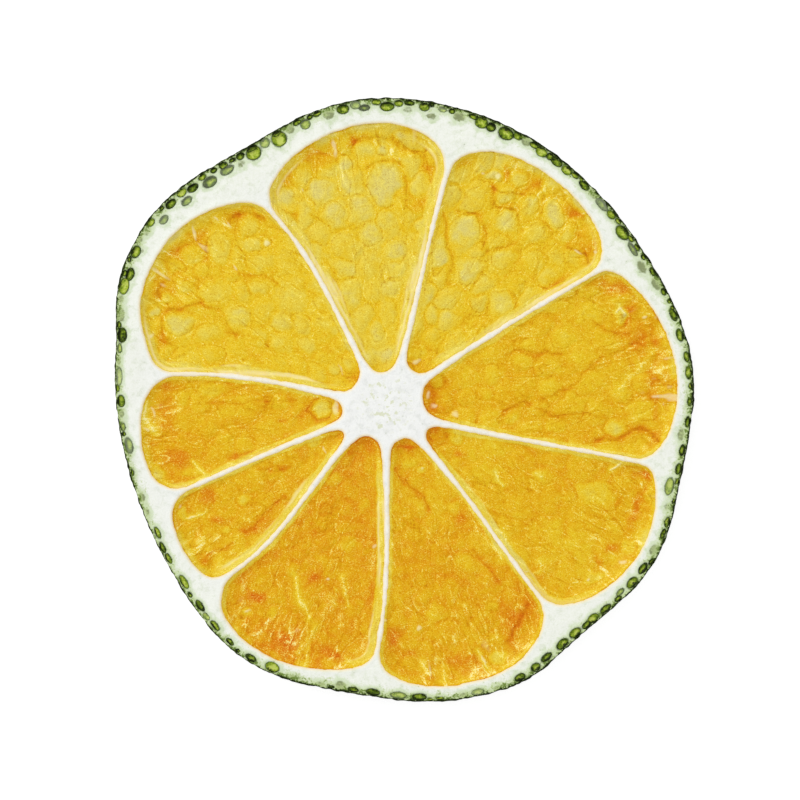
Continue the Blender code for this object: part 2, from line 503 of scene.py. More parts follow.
sky = bpy.data.worlds.new("even_light")
sky.use_nodes = True
background = sky.node_tree.nodes["Background"]
background.inputs["Color"].default_value = (1.0, 1.0, 1.0, 1.0)
background.inputs["Strength"].default_value = SKY_STRENGTH
bpy.context.scene.world = sky

lamp_data = bpy.data.lights.new("soft_lamp", "AREA")
lamp_data.size = LAMP_SIZE
lamp_data.energy = LAMP_POWER
lamp = in_scene("soft_lamp", lamp_data)
lamp.location = LAMP_PLACE
lamp.rotation_euler = (-LAMP_PLACE).to_track_quat("-Z", "Y").to_euler()
print("table, sky and one lamp of", LAMP_POWER, "W")

# %% [markdown]
# ## Fine grain, shared by every finish
#
# Dried tissue is mottled at two scales: a fine grain of shrunken cells, and broad blotches where more or
# less colour stayed behind. Skin, glands, pith and pulp all have both, so they are one shader group. Its
# inputs take the place and the two sizes in millimetres, and each finish decides what the two outputs do.

# %% The dried grain group
grain_group = bpy.data.node_groups.new("dried_grain", "ShaderNodeTree")
new_socket(grain_group, "Place", "Vector")
for socket_name, usual in (("Grain Size", 0.25), ("Blotch Size", 2.0), ("Detail", 2.0)):
    new_socket(grain_group, socket_name, "Float").default_value = usual
for socket_name in ("Grain", "Blotch"):
    new_socket(grain_group, socket_name, "Float", "OUTPUT")
given = add(grain_group, "NodeGroupInput").outputs
in_mm = add(grain_group, "ShaderNodeVectorMath", {0: given["Place"], "Scale": 1 / MM}, operation="SCALE")
grain = add(grain_group, "ShaderNodeTexNoise", {
    "Vector": in_mm.outputs[0], "Scale": combined(grain_group, "DIVIDE", 1.0, given["Grain Size"]),
    "Detail": given["Detail"], "Roughness": 0.6})
blotch = add(grain_group, "ShaderNodeTexNoise", {
    "Vector": in_mm.outputs[0], "Scale": combined(grain_group, "DIVIDE", 1.0, given["Blotch Size"]),
    "Detail": 3.0, "Roughness": 0.55, "Distortion": 0.4})
add(grain_group, "NodeGroupOutput", {"Grain": grain.outputs["Fac"], "Blotch": blotch.outputs["Fac"]})


def dried_grain(tree, grain_size, blotch_size, detail=2.0, place=None):
    """(grain, blotch) from the group, at the piece's own coordinates unless another place is given."""
    place = place or add(tree, "ShaderNodeTexCoord").outputs["Object"]
    inputs = {"Place": place, "Detail": detail, "Grain Size": grain_size, "Blotch Size": blotch_size}
    group = add(tree, "ShaderNodeGroup", inputs, node_tree=grain_group)
    return group.outputs["Grain"], group.outputs["Blotch"]


def value_of(tree, attribute):
    """A piece's own number at each point."""
    return add(tree, "ShaderNodeAttribute", attribute_name=attribute).outputs["Fac"]


def shifted(tree, value, factor, offset):
    """value times factor plus offset"""
    return add(tree, "ShaderNodeMath", {0: value, 1: factor, 2: offset}, operation="MULTIPLY_ADD").outputs[0]


def ranged(tree, value, start, end, low=0.0, high=1.0):
    """A smooth change from low to high as the value goes from start to end."""
    inputs = {"Value": value, "From Min": start, "From Max": end, "To Min": low, "To Max": high}
    return add(tree, "ShaderNodeMapRange", inputs, interpolation_type="SMOOTHSTEP").outputs[0]


def blended(tree, factor, first, second, mode="MIX"):
    """A mix of two colours, each one a socket or a colour."""
    inputs = {0: factor, 6: first, 7: second}
    mix = add(tree, "ShaderNodeMix", inputs, data_type="RGBA", blend_type=mode, clamp_factor=True)
    return mix.outputs[2]


def layered(tree, base, layers):
    """Colours laid over each other, each one by its own share."""
    for share, paint in layers:
        base = blended(tree, share, base, colour(*paint))
    return base


def unsettled(tree, attribute, mottle, strength):
    """A piece's own number with a mottle added, so that nothing it drives ends in a clean line."""
    return combined(tree, "ADD", value_of(tree, attribute), shifted(tree, mottle, strength, 0.0))


def ramp(tree, value, stops):
    """A colour that runs through the stops, which are (place from 0 to 1, colour)."""
    node = add(tree, "ShaderNodeValToRGB", {"Fac": value})
    band = node.color_ramp
    while len(band.elements) > 1:
        band.elements.remove(band.elements[-1])
    band.elements[0].position = stops[0][0]
    band.elements[0].color = colour(*stops[0][1])
    for place, paint in stops[1:]:
        band.elements.new(place).color = colour(*paint)
    return node.outputs["Color"]


def give_surface(tree, shader, base, roughness, shine, relief, strength, depth):
    """Colour, roughness, how much it reflects, and a fine relief that is depth mm deep."""
    tree.links.new(base, shader.inputs["Base Color"])
    shader.inputs["Roughness"].default_value = roughness
    shader.inputs["Specular IOR Level"].default_value = shine
    bump = add(tree, "ShaderNodeBump", {"Height": relief, "Strength": strength, "Distance": depth * MM})
    tree.links.new(bump.outputs["Normal"], shader.inputs["Normal"])


# %% [markdown]
# ## Oil glands: where they sit
#
# Under the skin of an orange lies a row of round oil glands, with a second row under it in places. Drying
# empties them, so at the cut they are open cups. No rule gives their places: some stretches are crowded
# with small dark ones and others have a few large clear ones. So they are noted one by one, going round
# from the right, like the stones of a necklace. Their tone is 0 for a nearly black gland and 1 for a bright
# yellow-green one, and a fade above 0 is for a gland that shows dimly through the pith. The smallest ones,
# squeezed between those and the skin, are too many to note, so a rule with a fixed seed adds them where
# there is room.

# %% The noted glands
GLANDS = (  # degrees round the core, distance from it, width along the rim, depth, tone, any fade
    (1, 31, 0.9, 0.5, 0.3), (4, 31.2, 0.7, 0.4, 0.2), (6.5, 31.1, 1.35, 0.65, 0.6),
    (9.5, 31.3, 1.1, 0.6, 0.4), (13.8, 30.85, 1.35, 0.75, 0.3), (17.8, 30.85, 1.35, 0.7, 0.3),
    (20.6, 31, 0.5, 0.35, 0.1), (22.6, 30.9, 0.8, 0.5, 0.1), (24.6, 30.4, 1.5, 1, 0.8, 0.35),
    (27, 30.7, 0.9, 0.5, 0.3), (28.8, 29.75, 1.5, 0.95, 0.3, 0.55), (30.3, 30.5, 0.7, 0.45, 0.2),
    (32.5, 30.55, 0.8, 0.45, 0.1), (32.7, 29.9, 1.6, 0.6, 0, 0.15), (34.6, 30.6, 0.8, 0.5, 0.5),
    (36.5, 30.1, 1.75, 1.15, 0.3), (38.8, 30.75, 0.7, 0.45, 0.4), (40.6, 30.4, 1.05, 0.75, 0.9),
    (43.3, 30.2, 1.7, 0.75, 0.1, 0.2), (45.9, 30.6, 1.5, 0.7, 0.8, 0.4), (48.3, 30.85, 1.3, 0.75, 0.3),
    (50.9, 30.95, 0.9, 0.5, 0.4), (52.8, 30.7, 1.1, 0.85, 0.8), (55.3, 30.6, 1.4, 0.8, 0.3),
    (57, 30.95, 0.8, 0.7, 0.2), (58.8, 30.5, 1.3, 0.9, 0.9), (60.7, 31.05, 0.9, 0.6, 0.2),
    (62.3, 30.7, 1.1, 0.9, 0.6, 0.45), (64.2, 31, 1, 0.7, 0.5), (66.5, 30.6, 1.65, 1.3, 0.5),
    (69.6, 30.55, 1, 0.95, 0), (71.6, 30.65, 1.35, 1.15, 0.8), (73.4, 31.1, 1.1, 0.5, 0.1),
    (76, 30.6, 1.4, 1, 0.8, 0.4), (77.6, 31, 0.7, 0.5, 0.1), (79.4, 30.95, 0.9, 0.5, 0.5, 0.2),
    (81.4, 30.1, 1.1, 0.7, 0, 0.45), (82.9, 30.95, 1.1, 0.85, 0.5), (85.8, 31.25, 1.1, 0.55, 0.2),
    (86, 30.5, 1.1, 0.9, 0.5, 0.75), (87.8, 31.1, 0.9, 0.7, 0.6), (90, 30.75, 1.5, 0.95, 0.3),
    (92, 31.3, 1, 0.6, 0.7), (94.3, 30.7, 1.2, 0.65, 0, 0.1), (96, 31.1, 1, 0.8, 0.6, 0.2),
    (98.4, 30.8, 1.3, 1, 0.4), (101.3, 30.55, 1.3, 1.15, 0.8, 0.3), (103.4, 31, 0.9, 0.5, 0.2),
    (104.9, 30.85, 0.7, 0.5, 0), (106.1, 30.1, 1.05, 1, 0.8, 0.1), (107.6, 30.85, 0.9, 0.5, 0.2),
    (109.3, 30.5, 1, 1, 0.5, 0.3), (111.9, 29.55, 1.6, 1.6, 1), (112, 30.25, 1.1, 0.5, 0),
    (114.8, 30.1, 1, 1, 0.7, 0.15), (117.7, 29.35, 1.65, 1.4, 0.7), (117.6, 29.85, 1.2, 0.6, 0),
    (120.3, 30, 0.9, 0.7, 0.1), (120.9, 29, 0.9, 0.9, 0.4, 0.7), (122.1, 29.8, 0.8, 0.4, 0),
    (124, 29.25, 1.5, 0.9, 0.3, 0.15), (124.1, 30, 0.9, 0.65, 0.3), (126.2, 30.1, 0.8, 0.5, 0),
    (128.2, 29.3, 1.6, 1.05, 0.3, 0.1), (128.8, 30.2, 0.9, 0.55, 0.5), (131.6, 29.95, 1.3, 0.8, 0),
    (133.8, 30.35, 1.1, 0.75, 0.9), (134.2, 29.4, 1.3, 0.75, 0.2, 0.15), (136.8, 30.35, 1.3, 0.8, 0.2),
    (138.6, 30.8, 0.6, 0.4, 0), (140, 29.8, 1.1, 0.75, 0.2, 0.2), (142, 30.7, 0.95, 0.6, 0.8),
    (143.7, 30.35, 1.1, 0.65, 0.5, 0.75), (146, 30.8, 0.9, 0.5, 0.7, 0.4), (148.3, 30.4, 1.4, 0.95, 0.5),
    (147.4, 29.7, 0.7, 0.35, 0.2, 0.7), (150.2, 30.7, 0.7, 0.35, 0), (152.7, 29.6, 1.4, 0.9, 0.1),
    (155.3, 29.65, 1.7, 1, 1), (153, 30.4, 0.8, 0.35, 0.1), (157.9, 29.35, 0.9, 0.7, 0.5, 0.65),
    (160.8, 28.85, 1.5, 0.85, 1, 0.35), (164.8, 28.1, 1.6, 1, 0.1), (167.6, 28.3, 1, 0.5, 0.6, 0.1),
    (170.2, 28.05, 0.9, 0.4, 0.6, 0.3), (173.5, 27.65, 1.9, 0.6, 0.8, 0.25), (178.7, 27.4, 1.25, 0.8, 0.4),
    (181.3, 27.5, 1, 0.6, 0.8, 0.35), (184.3, 27.5, 0.9, 0.5, 0.5, 0.1), (185.8, 27.35, 0.5, 0.4, 0),
    (188.5, 26.7, 1.7, 0.8, 0.3, 0.2), (194.4, 27.1, 0.7, 0.3, 0.1), (200.2, 26.8, 1, 0.6, 0.6, 0.3),
    (203.6, 26.75, 0.9, 0.45, 0.2, 0.6), (208.7, 26.75, 1.3, 0.5, 0.6), (212, 27.2, 1.2, 0.5, 0.1),
    (214.7, 27.2, 1.2, 0.55, 0.4), (220.7, 27.4, 1.6, 0.65, 0.8), (223.6, 27.85, 0.7, 0.4, 0.3),
    (226.8, 27.9, 1.4, 0.6, 0.2), (229.2, 28.3, 0.9, 0.5, 0.7, 0.1), (231.8, 28.45, 1.3, 0.6, 0.4),
    (236.2, 28.9, 1, 0.5, 0.1), (241.5, 29.35, 1.3, 0.65, 0), (246.2, 29.2, 1.5, 1, 0.9),
    (250.7, 29.4, 0.8, 0.5, 0.6, 0.45), (256.6, 29.35, 1, 0.5, 0.3, 0.65), (258.5, 29.5, 0.9, 0.3, 0),
    (260.6, 28.95, 1.2, 0.95, 0.7, 0.4), (263.2, 29.4, 1.2, 0.5, 0), (267.2, 29.45, 1.5, 0.7, 0.1),
    (272.3, 29.8, 1.7, 0.7, 0.7, 0.1), (276.4, 30.15, 1.5, 0.7, 0.1), (280.3, 30.5, 0.9, 0.35, 0.2),
    (285, 30.55, 1.2, 0.5, 0.7, 0.55), (287.7, 30.7, 1.3, 0.6, 0.8, 0.2),
    (291.5, 30.85, 0.9, 0.4, 0.6, 0.5), (296.2, 30.9, 1.2, 0.75, 0.1), (299.7, 30.75, 1.1, 0.85, 0.3),
    (302.5, 30.35, 1.4, 0.7, 0.1), (306.5, 30.15, 1.5, 0.85, 0.4), (309.8, 30.1, 1.4, 0.85, 0.7),
    (312.5, 30.35, 1.1, 0.6, 0.1), (314.3, 30.4, 1.3, 0.8, 0.7), (317.3, 30.75, 1.4, 0.65, 0.1),
    (320.3, 31, 0.9, 0.5, 0.2), (321.6, 30.45, 1, 0.5, 0.5, 0.1), (324.4, 30.95, 1.4, 0.85, 0.5),
    (327.8, 30.95, 1.4, 0.65, 0.1), (331.8, 30.95, 1.2, 0.85, 0.4, 0.3), (335.4, 31.1, 1.1, 0.5, 0.1),
    (337.7, 31.05, 1.1, 0.5, 0.2), (340.4, 30.4, 0.9, 0.6, 0.3, 0.65), (341.8, 30.9, 0.7, 0.3, 0.1),
    (344.3, 30, 1.8, 0.9, 1, 0.1), (345.5, 30.7, 0.7, 0.4, 0.5), (348, 30.65, 1.2, 0.6, 0.2),
    (351.7, 30.75, 1.2, 0.6, 0), (354.7, 30.2, 1.5, 0.8, 0.5, 0.5), (357.2, 30.9, 1.2, 0.5, 0.2),
)
SKIN_THICK = 0.24
OPEN_FADE = 0.3
SMALL_STEP = 1.6  # degrees from one place tried for a small gland to the next
CROWDED = ((28, 64), (82, 102), (116, 148))  # degrees between which nearly every place gets one
SPARSE = (150, 260)  # degrees between which few do

skin_out = outward(skin_line)
skin_degrees = np.degrees(np.arctan2(skin_line[:, 1], skin_line[:, 0]))


def skin_at(degrees):
    """(number of the skin line's point in that direction, the angle that the skin faces there)"""
    k = int(np.argmin(np.abs((skin_degrees - degrees + 180) % 360 - 180)))
    return k, math.atan2(skin_out[k][1], skin_out[k][0])


glands = []
for degrees, distance, along_rim, depth, tone, *fade in GLANDS:
    k, facing = skin_at(degrees)
    behind_skin = math.hypot(*skin_line[k]) - SKIN_THICK * 0.8 - depth / 2
    radius = min(distance, behind_skin)
    x = radius * math.cos(math.radians(degrees))
    y = radius * math.sin(math.radians(degrees))
    glands.append((x, y, facing, along_rim, depth, tone, *(fade or [0.0])))
pick = np.random.default_rng(12)
for degrees in np.arange(0.0, 360.0, SMALL_STEP):
    k, facing = skin_at(degrees)
    along_rim = pick.uniform(0.45, 0.85)
    depth = pick.uniform(0.28, 0.42)
    x, y = skin_line[k] - skin_out[k] * (SKIN_THICK * 0.7 + depth / 2)
    chance = 0.15 if SPARSE[0] < degrees < SPARSE[1] else 0.4
    if any(start < degrees < end for start, end in CROWDED):
        chance = 0.95
    apart = [math.hypot(x - row[0], y - row[1]) - 0.4 * (along_rim + row[3]) for row in glands]
    if pick.uniform() < chance and min(apart) > 0:
        glands.append((x, y, facing, along_rim, depth, pick.uniform(-0.3, 0.5), 0.0))
glands = np.array(glands)
cut_open = glands[:, 6] < OPEN_FADE  # the others lie deeper and only show through the pith
print(len(glands), "glands, of which", cut_open.sum(), "are cut open")

# %% How far a place is from the glands
GLAND_WINDOW = 2.5  # mm: further away than this, a gland makes next to no difference
NO_GLAND = 9.0


def gland_reach(x, y, wider=0.0):
    """(reach, number) of the nearest gland: 0 at its middle, 1 at its edge. Wider adds mm all round."""
    nearest = np.full(len(x), NO_GLAND)
    number = np.zeros(len(x), int)
    for k, (gx, gy, turn, long, wide, tone, fade) in enumerate(glands):
        near = np.flatnonzero((np.abs(x - gx) < GLAND_WINDOW) & (np.abs(y - gy) < GLAND_WINDOW))
        dx = x[near] - gx
        dy = y[near] - gy
        across = dx * math.cos(turn) + dy * math.sin(turn)
        along = dy * math.cos(turn) - dx * math.sin(turn)
        reach = np.hypot(across / (wide / 2 + wider), along / (long / 2 + wider))
        wins = reach < nearest[near]
        nearest[near[wins]] = reach[wins]
        number[near[wins]] = k
    return nearest, number


# %% [markdown]
# ## White tissue
#
# The pith, the membranes and the core are one spongy white tissue. It is thickest at the rim, dips along
# the membranes and rises again to the core. It could be a subdivided copy of the CAD plate, but the plate's
# long triangles would crease, so it is a blank cut to the frame's outlines with its height worked out at
# each point: the same rise and dip as the frame, edges rounded over the pulp, a low lumpiness, a slight
# swelling round each gland, and a pit in the ones that are cut open.

# %% Heights of the white tissue
CORE_HEIGHT = 3.1
MEMBRANE_HEIGHT = 2.7
DIP_START = 4.0
DIP_END = 27.0
PIT_DEPTH = 0.30


def tissue_height(x, y):
    """The upper face before any roughness."""
    radius = np.hypot(x, y)
    along = (np.clip(radius, DIP_START, DIP_END) - DIP_START) / (DIP_END - DIP_START)
    ends = CORE_HEIGHT + (thickness - CORE_HEIGHT) * along
    return ends - ((CORE_HEIGHT + thickness) / 2 - MEMBRANE_HEIGHT) * np.sin(math.pi * along)


def gland_depth(x, y):
    """How far the surface sinks in the gland pits."""
    reach, number = gland_reach(x, y)
    return PIT_DEPTH * (1 - ease(reach, 0.7, 1.05)) * cut_open[number]


# %% Make the white tissue
TISSUE_SPACING = 0.19
EDGE_ROUND = 0.22
LUMP = 0.07
SWELLING = 0.05

walls = list(cell_lines.values())
skin_inner = skin_line - skin_out * SKIN_THICK * 0.5
flat, triangles, rings = flat_blank(skin_inner, walls, TISSUE_SPACING, 3, rim_row=0.1)
x, y = flat.T
from_skin = distances(flat, [skin_line])
from_cell = distances(flat, walls)
from_edge = np.minimum(from_cell, from_skin)
round_off = EDGE_ROUND - np.sqrt(EDGE_ROUND**2 - (EDGE_ROUND - np.minimum(from_cell, EDGE_ROUND)) ** 2)
lumps = LUMP * rough_noise(x, y, 1.3, 5) + LUMP * soft_noise(x, y, 5.0, 6)
fade_at_edge = 0.3 + 0.7 * ease(from_edge, 0.1, 0.8)
pits = gland_depth(x, y)
top = tissue_height(x, y) - round_off + (lumps - 0.06) * fade_at_edge - pits
top += SWELLING * soft_line(gland_reach(x, y)[0] - 1.25, 0.25)
below = LUMP * rough_noise(x, y, 1.3, 8) * fade_at_edge + 0.06
bottom = np.maximum(0.0, round_off + below * ease(from_edge, 0.0, 0.5)) + pits
tissue = closed_plate("white_tissue", flat, triangles, rings, top, bottom, 6)

# %% What the white tissue's finish reads
SMOOTH_SIDE = 205  # degrees: on this side hardly any green has spread from the skin

x, y, z = places_of(tissue).T
places = np.column_stack([x, y])
reach, number = gland_reach(x, y)
around = gland_reach(x, y, wider=0.25)[0]
clean = 0.14 * ease(np.cos(np.arctan2(y, x) - math.radians(SMOOTH_SIDE)), 0.55, 0.9)
put_attribute(tissue, "from_skin", distances(places, [skin_line]) + clean)
put_attribute(tissue, "from_cell", distances(places, walls))
put_attribute(tissue, "from_core", np.hypot(x, y))
put_attribute(tissue, "gland_near", np.exp(-np.maximum(around - 1.0, 0.0) * 2.0))
put_attribute(tissue, "gland_edge", (1 - ease(reach, 1.0, 1.25)) * cut_open[number])
shown_deep = (1.2 - glands[number, 6]) * ~cut_open[number]
put_attribute(tissue, "deep_gland", (1 - ease(reach, 0.5, 1.25)) * shown_deep)

# %% [markdown]
# ## The finish of the white tissue
#
# Pith is a matt, slightly fibrous white with a breath of green towards the rim. Round the glands and just
# under the skin it turns pale green in patches, each open gland has a thin dark edge, the deeper ones are
# soft grey-green spots, and right behind the skin the green is deep. Membranes are creamy where they meet
# the pulp, and the core has a few yellow-green flecks. Distances stored on the mesh drive those changes,
# and the shared grain breaks them up. A list of layers, each with its share and its colour, is easier to
# read and to change than a chain of mixes.

# %% Finish the white tissue
pith_white, tree, shader = new_material("pith_white")
grain, blotch = dried_grain(tree, 0.2, 0.7)
fleck_grain = dried_grain(tree, 0.6, 4.0, 4.0)[0]
mottle = combined(tree, "ADD", shifted(tree, blotch, 3.0, -1.5), shifted(tree, grain, 2.0, -1.0))
veins = ranged(tree, blotch, 0.48, 0.66, 0.0, 0.7)
inner_white = blended(tree, veins, colour(243, 244, 242), colour(227, 229, 225))
outer_white = blended(tree, veins, colour(240, 243, 231), colour(224, 231, 209))
base = blended(tree, ranged(tree, value_of(tree, "from_core"), 21.0, 28.0), inner_white, outer_white)
in_core = combined(tree, "ADD", value_of(tree, "from_core"), shifted(tree, blotch, 6.0, -3.0))
in_core = ranged(tree, in_core, 1.2, 3.2, 1.0, 0.0)
skinward = unsettled(tree, "from_skin", mottle, 0.75)
base = layered(tree, base, (
    (ranged(tree, grain, 0.35, 0.65, 0.0, 0.5), (250, 251, 246)),
    (combined(tree, "MULTIPLY", in_core, ranged(tree, fleck_grain, 0.53, 0.60, 0.0, 0.7)), (214, 219, 178)),
    (ranged(tree, unsettled(tree, "gland_near", mottle, 0.6), 0.35, 1.1, 0.0, 0.6), (200, 220, 168)),
    (ranged(tree, unsettled(tree, "deep_gland", mottle, 0.3), 0.12, 0.65, 0.0, 0.85), (120, 130, 78)),
    (ranged(tree, skinward, 0.4, 1.2, 0.8, 0.0), (190, 208, 142)),
    (ranged(tree, skinward, 0.14, 0.58, 0.95, 0.0), (104, 130, 44)),
    (ranged(tree, unsettled(tree, "from_skin", mottle, 0.22), 0.14, 0.30, 1.0, 0.0), (32, 44, 8)),
    (ranged(tree, unsettled(tree, "gland_edge", mottle, 0.5), 0.3, 1.1, 0.0, 0.6), (48, 66, 14)),
    (ranged(tree, value_of(tree, "from_cell"), 0.0, 0.36, 0.68, 0.0), (251, 231, 178)),
))
give_surface(tree, shader, base, 0.85, 0.2, grain, 0.5, 0.06)
tissue.data.materials.append(pith_white)

# %% [markdown]
# ## The skin
#
# The dried skin is a hard dark green line round the rim, dimpled as skin is where oil glands have shrunk
# behind it. It is swept round the smooth outline: one closed profile, moved in and out by noise so that it
# is scalloped when seen from above and pitted when seen from the side.

# %% Sweep the skin round the rim
SKIN_STEP = 0.16
WAIST = 0.25
DIMPLE = 0.16
SKIN_PROFILE = (  # across from the outline (out is positive) and height, as shares of thickness
    (-1.0, 0.35), (-0.8, 0.08), (-0.25, 0.0), (0.0, 0.05), (0.0, 0.15), (0.0, 0.27), (0.0, 0.39), (0.0, 0.5),
    (0.0, 0.61), (0.0, 0.73), (0.0, 0.85), (0.0, 0.95), (-0.25, 1.0), (-0.8, 0.985), (-1.0, 0.7),
)

rim = smooth_loop(skin_row, SKIN_STEP)
rim_out = outward(rim)
points = []
for share, height in SKIN_PROFILE:
    for k in range(len(rim)):
        spot = Vector((*rim[k], height * thickness))
        dimple = noise.noise(spot * 1.1) * 0.6 + noise.noise(spot * 2.6 + Vector((9.0, 3.0, 1.0))) * 0.4
        deep = SKIN_THICK * (1 + 0.7 * noise.noise(spot * 1.3 + Vector((4.0, 7.0, 2.0))))
        push = share * deep
        if share > -0.5:
            push += DIMPLE * dimple - WAIST * math.sin(math.pi * height) ** 2 - 0.03
        x, y = rim[k] + rim_out[k] * push
        points.append((x, y, height * thickness + 0.03 * noise.noise(spot * 2.0)))
count = len(rim)
here = np.arange(count)
after = np.roll(here, -1)
faces = []
for k in range(len(SKIN_PROFILE)):
    lower = k * count
    upper = (k + 1) % len(SKIN_PROFILE) * count
    faces.append(np.column_stack([lower + here, lower + after, upper + after, upper + here]))
points = np.array(points)
points[:, 2] = np.clip(points[:, 2], 0.0, thickness)
skin = new_piece("green_skin", points, np.vstack(faces))

# %% Finish the skin
skin_green, tree, shader = new_material("skin_green")
grain, blotch = dried_grain(tree, 0.4, 2.2)
shade = combined(tree, "ADD", shifted(tree, grain, 1.2, -0.6), blotch)
base = ramp(tree, shade, ((0.3, (16, 23, 2)), (0.6, (40, 52, 8)), (0.9, (92, 112, 32))))
give_surface(tree, shader, base, 0.55, 0.05, grain, 0.6, 0.08)
skin.data.materials.append(skin_green)

# %% [markdown]
# ## One gland, and the tree that sets them out
#
# Each open gland is the same small cup at its own place, turn and size, so the cup is made once, in a few
# dozen faces, and Geometry Nodes put a copy on each point of a plain list. The points carry the turn, the
# size and the tone. The tree reads them, Realize Instances makes the copies real faces, and a noise then
# pushes every point a little sideways so that no two glands stay alike. The cup remembers how near its rim a
# point is and which side faces the skin, because its finish paints the cup's shade there: the walls darken
# towards the rim, and the side towards the skin is nearly black.

# %% The cup
CUP_SIDES = 14
CUP_RINGS = ((1.0, -0.10), (0.92, 0.06), (0.70, -0.14))
CUP_FLOOR = -0.26
CUP_UNDERSIDE = -0.45

cup_points = []
for share, height in CUP_RINGS:
    for k in range(CUP_SIDES):
        angle = 2 * math.pi * k / CUP_SIDES
        cup_points.append((share * math.cos(angle) / 2, share * math.sin(angle) / 2, height))
cup_points += [(0.0, 0.0, CUP_FLOOR), (0.0, 0.0, CUP_UNDERSIDE)]
cup_faces = []
last = (len(CUP_RINGS) - 1) * CUP_SIDES
for k in range(CUP_SIDES):
    after = (k + 1) % CUP_SIDES
    for ring in range(0, last, CUP_SIDES):
        cup_faces.append((ring + k, ring + after, ring + after + CUP_SIDES, ring + k + CUP_SIDES))
    cup_faces.append((last + k, last + after, len(cup_points) - 2))
    cup_faces.append((after, k, len(cup_points) - 1))
cup_mesh = bpy.data.meshes.new("gland_cup")
cup_mesh.from_pydata(cup_points, [], cup_faces)
cup_mesh.shade_smooth()
cup = bpy.data.objects.new("gland_cup", cup_mesh)
put_attribute(cup, "rimward", [2 * math.hypot(p[0], p[1]) for p in cup_points])
put_attribute(cup, "skinward", [2 * p[0] for p in cup_points])
print("a cup has", len(cup_faces), "faces")

# %% The tree
gland_tree = bpy.data.node_groups.new("set_out_glands", "GeometryNodeTree")
new_socket(gland_tree, "Geometry", "Geometry")
tree_inputs = {}
for name, kind in (("Cup", "Object"), ("Push", "Float"), ("Lump Size", "Float"), ("Finish", "Material")):
    tree_inputs[name] = new_socket(gland_tree, name, kind)
new_socket(gland_tree, "Geometry", "Geometry", "OUTPUT")


def carried_vector(name):
    """A vector that each point of the list carries."""
    node = add(gland_tree, "GeometryNodeInputNamedAttribute", {"Name": name}, data_type="FLOAT_VECTOR")
    return node.outputs["Attribute"]


given = add(gland_tree, "NodeGroupInput").outputs
read_cup = add(gland_tree, "GeometryNodeObjectInfo", {"Object": given["Cup"]})
as_points = add(gland_tree, "GeometryNodeMeshToPoints", {"Mesh": given["Geometry"]})
placed = add(gland_tree, "GeometryNodeInstanceOnPoints", {
    "Points": as_points.outputs[0], "Instance": read_cup.outputs["Geometry"],
    "Rotation": carried_vector("gland_turn"), "Scale": carried_vector("gland_size")})
real = add(gland_tree, "GeometryNodeRealizeInstances", {0: placed.outputs[0]})
place = add(gland_tree, "GeometryNodeInputPosition").outputs[0]
lump_scale = combined(gland_tree, "DIVIDE", 1.0, given["Lump Size"])
lumps = add(gland_tree, "ShaderNodeTexNoise", {"Vector": place, "Scale": lump_scale, "Detail": 1.0})
push = lumps.outputs["Color"]
for operation, inputs in (("SUBTRACT", {1: (0.5, 0.5, 0.5)}), ("SCALE", {"Scale": given["Push"]}),
                          ("MULTIPLY", {1: (1.0, 1.0, 0.0)})):
    push = add(gland_tree, "ShaderNodeVectorMath", {0: push, **inputs}, operation=operation).outputs[0]
moved = add(gland_tree, "GeometryNodeSetPosition", {"Geometry": real.outputs[0], "Offset": push})
painted = add(gland_tree, "GeometryNodeSetMaterial", {
    "Geometry": moved.outputs[0], "Material": given["Finish"]})
add(gland_tree, "NodeGroupOutput", {0: painted.outputs[0]})
print("the tree has", len(gland_tree.nodes), "nodes")

# %% [markdown]
# ## The finish of a gland
#
# A cut gland is a dark green ring round a clearer yellow-green floor, nearly black on the side towards the
# skin. That near-black side is painted shade inside the cup, and the floor's darkening towards the rim is
# partly painted shade of its walls. Each gland has its own tone. The fainter it is noted, the paler it gets,
# as if a little pith lay over it.

# %% Finish for the glands
gland_green, tree, shader = new_material("gland_green")
grain, blotch = dried_grain(tree, 0.22, 0.8)
mottle = combined(tree, "ADD", shifted(tree, blotch, 2.0, -1.0), shifted(tree, grain, 1.3, -0.65))
own_tone = value_of(tree, "gland_tone")
clearness = combined(tree, "ADD", shifted(tree, own_tone, 0.55, 0.30), mottle)
# Partly painted shade: the floor is clearer than the walls towards the rim, as shade falls in a cup.
clearness = combined(tree, "ADD", clearness, shifted(tree, value_of(tree, "rimward"), -0.65, 0.38))
base = ramp(tree, clearness, (
    (0.0, (31, 42, 5)), (0.3, (79, 101, 20)), (0.6, (134, 159, 42)), (0.85, (174, 193, 62)),
    (1.0, (198, 211, 100))))
# Painted shade: the side of the cup towards the skin turns nearly black.
skin_side_shade = combined(tree, "ADD", value_of(tree, "skinward"), mottle)
skin_side_shade = combined(tree, "SUBTRACT", skin_side_shade, shifted(tree, own_tone, 0.35, 0.0))
base = layered(tree, base, (
    (ranged(tree, skin_side_shade, 0.15, 0.6, 0.0, 0.95), (16, 22, 3)),
    (ranged(tree, unsettled(tree, "rimward", mottle, 0.5), 0.80, 1.1, 0.0, 0.75), (36, 50, 8)),
    (shifted(tree, value_of(tree, "gland_fade"), 1.6, 0.0), (206, 218, 180)),
))
give_surface(tree, shader, base, 0.4, 0.08, grain, 0.4, 0.05)

# %% Set the glands out on both cut faces
GLAND_PUSH = 0.30
GLAND_LUMP = 0.55
LEAST_LEVEL = 0.06  # so that no cup on the lower face sinks into the table

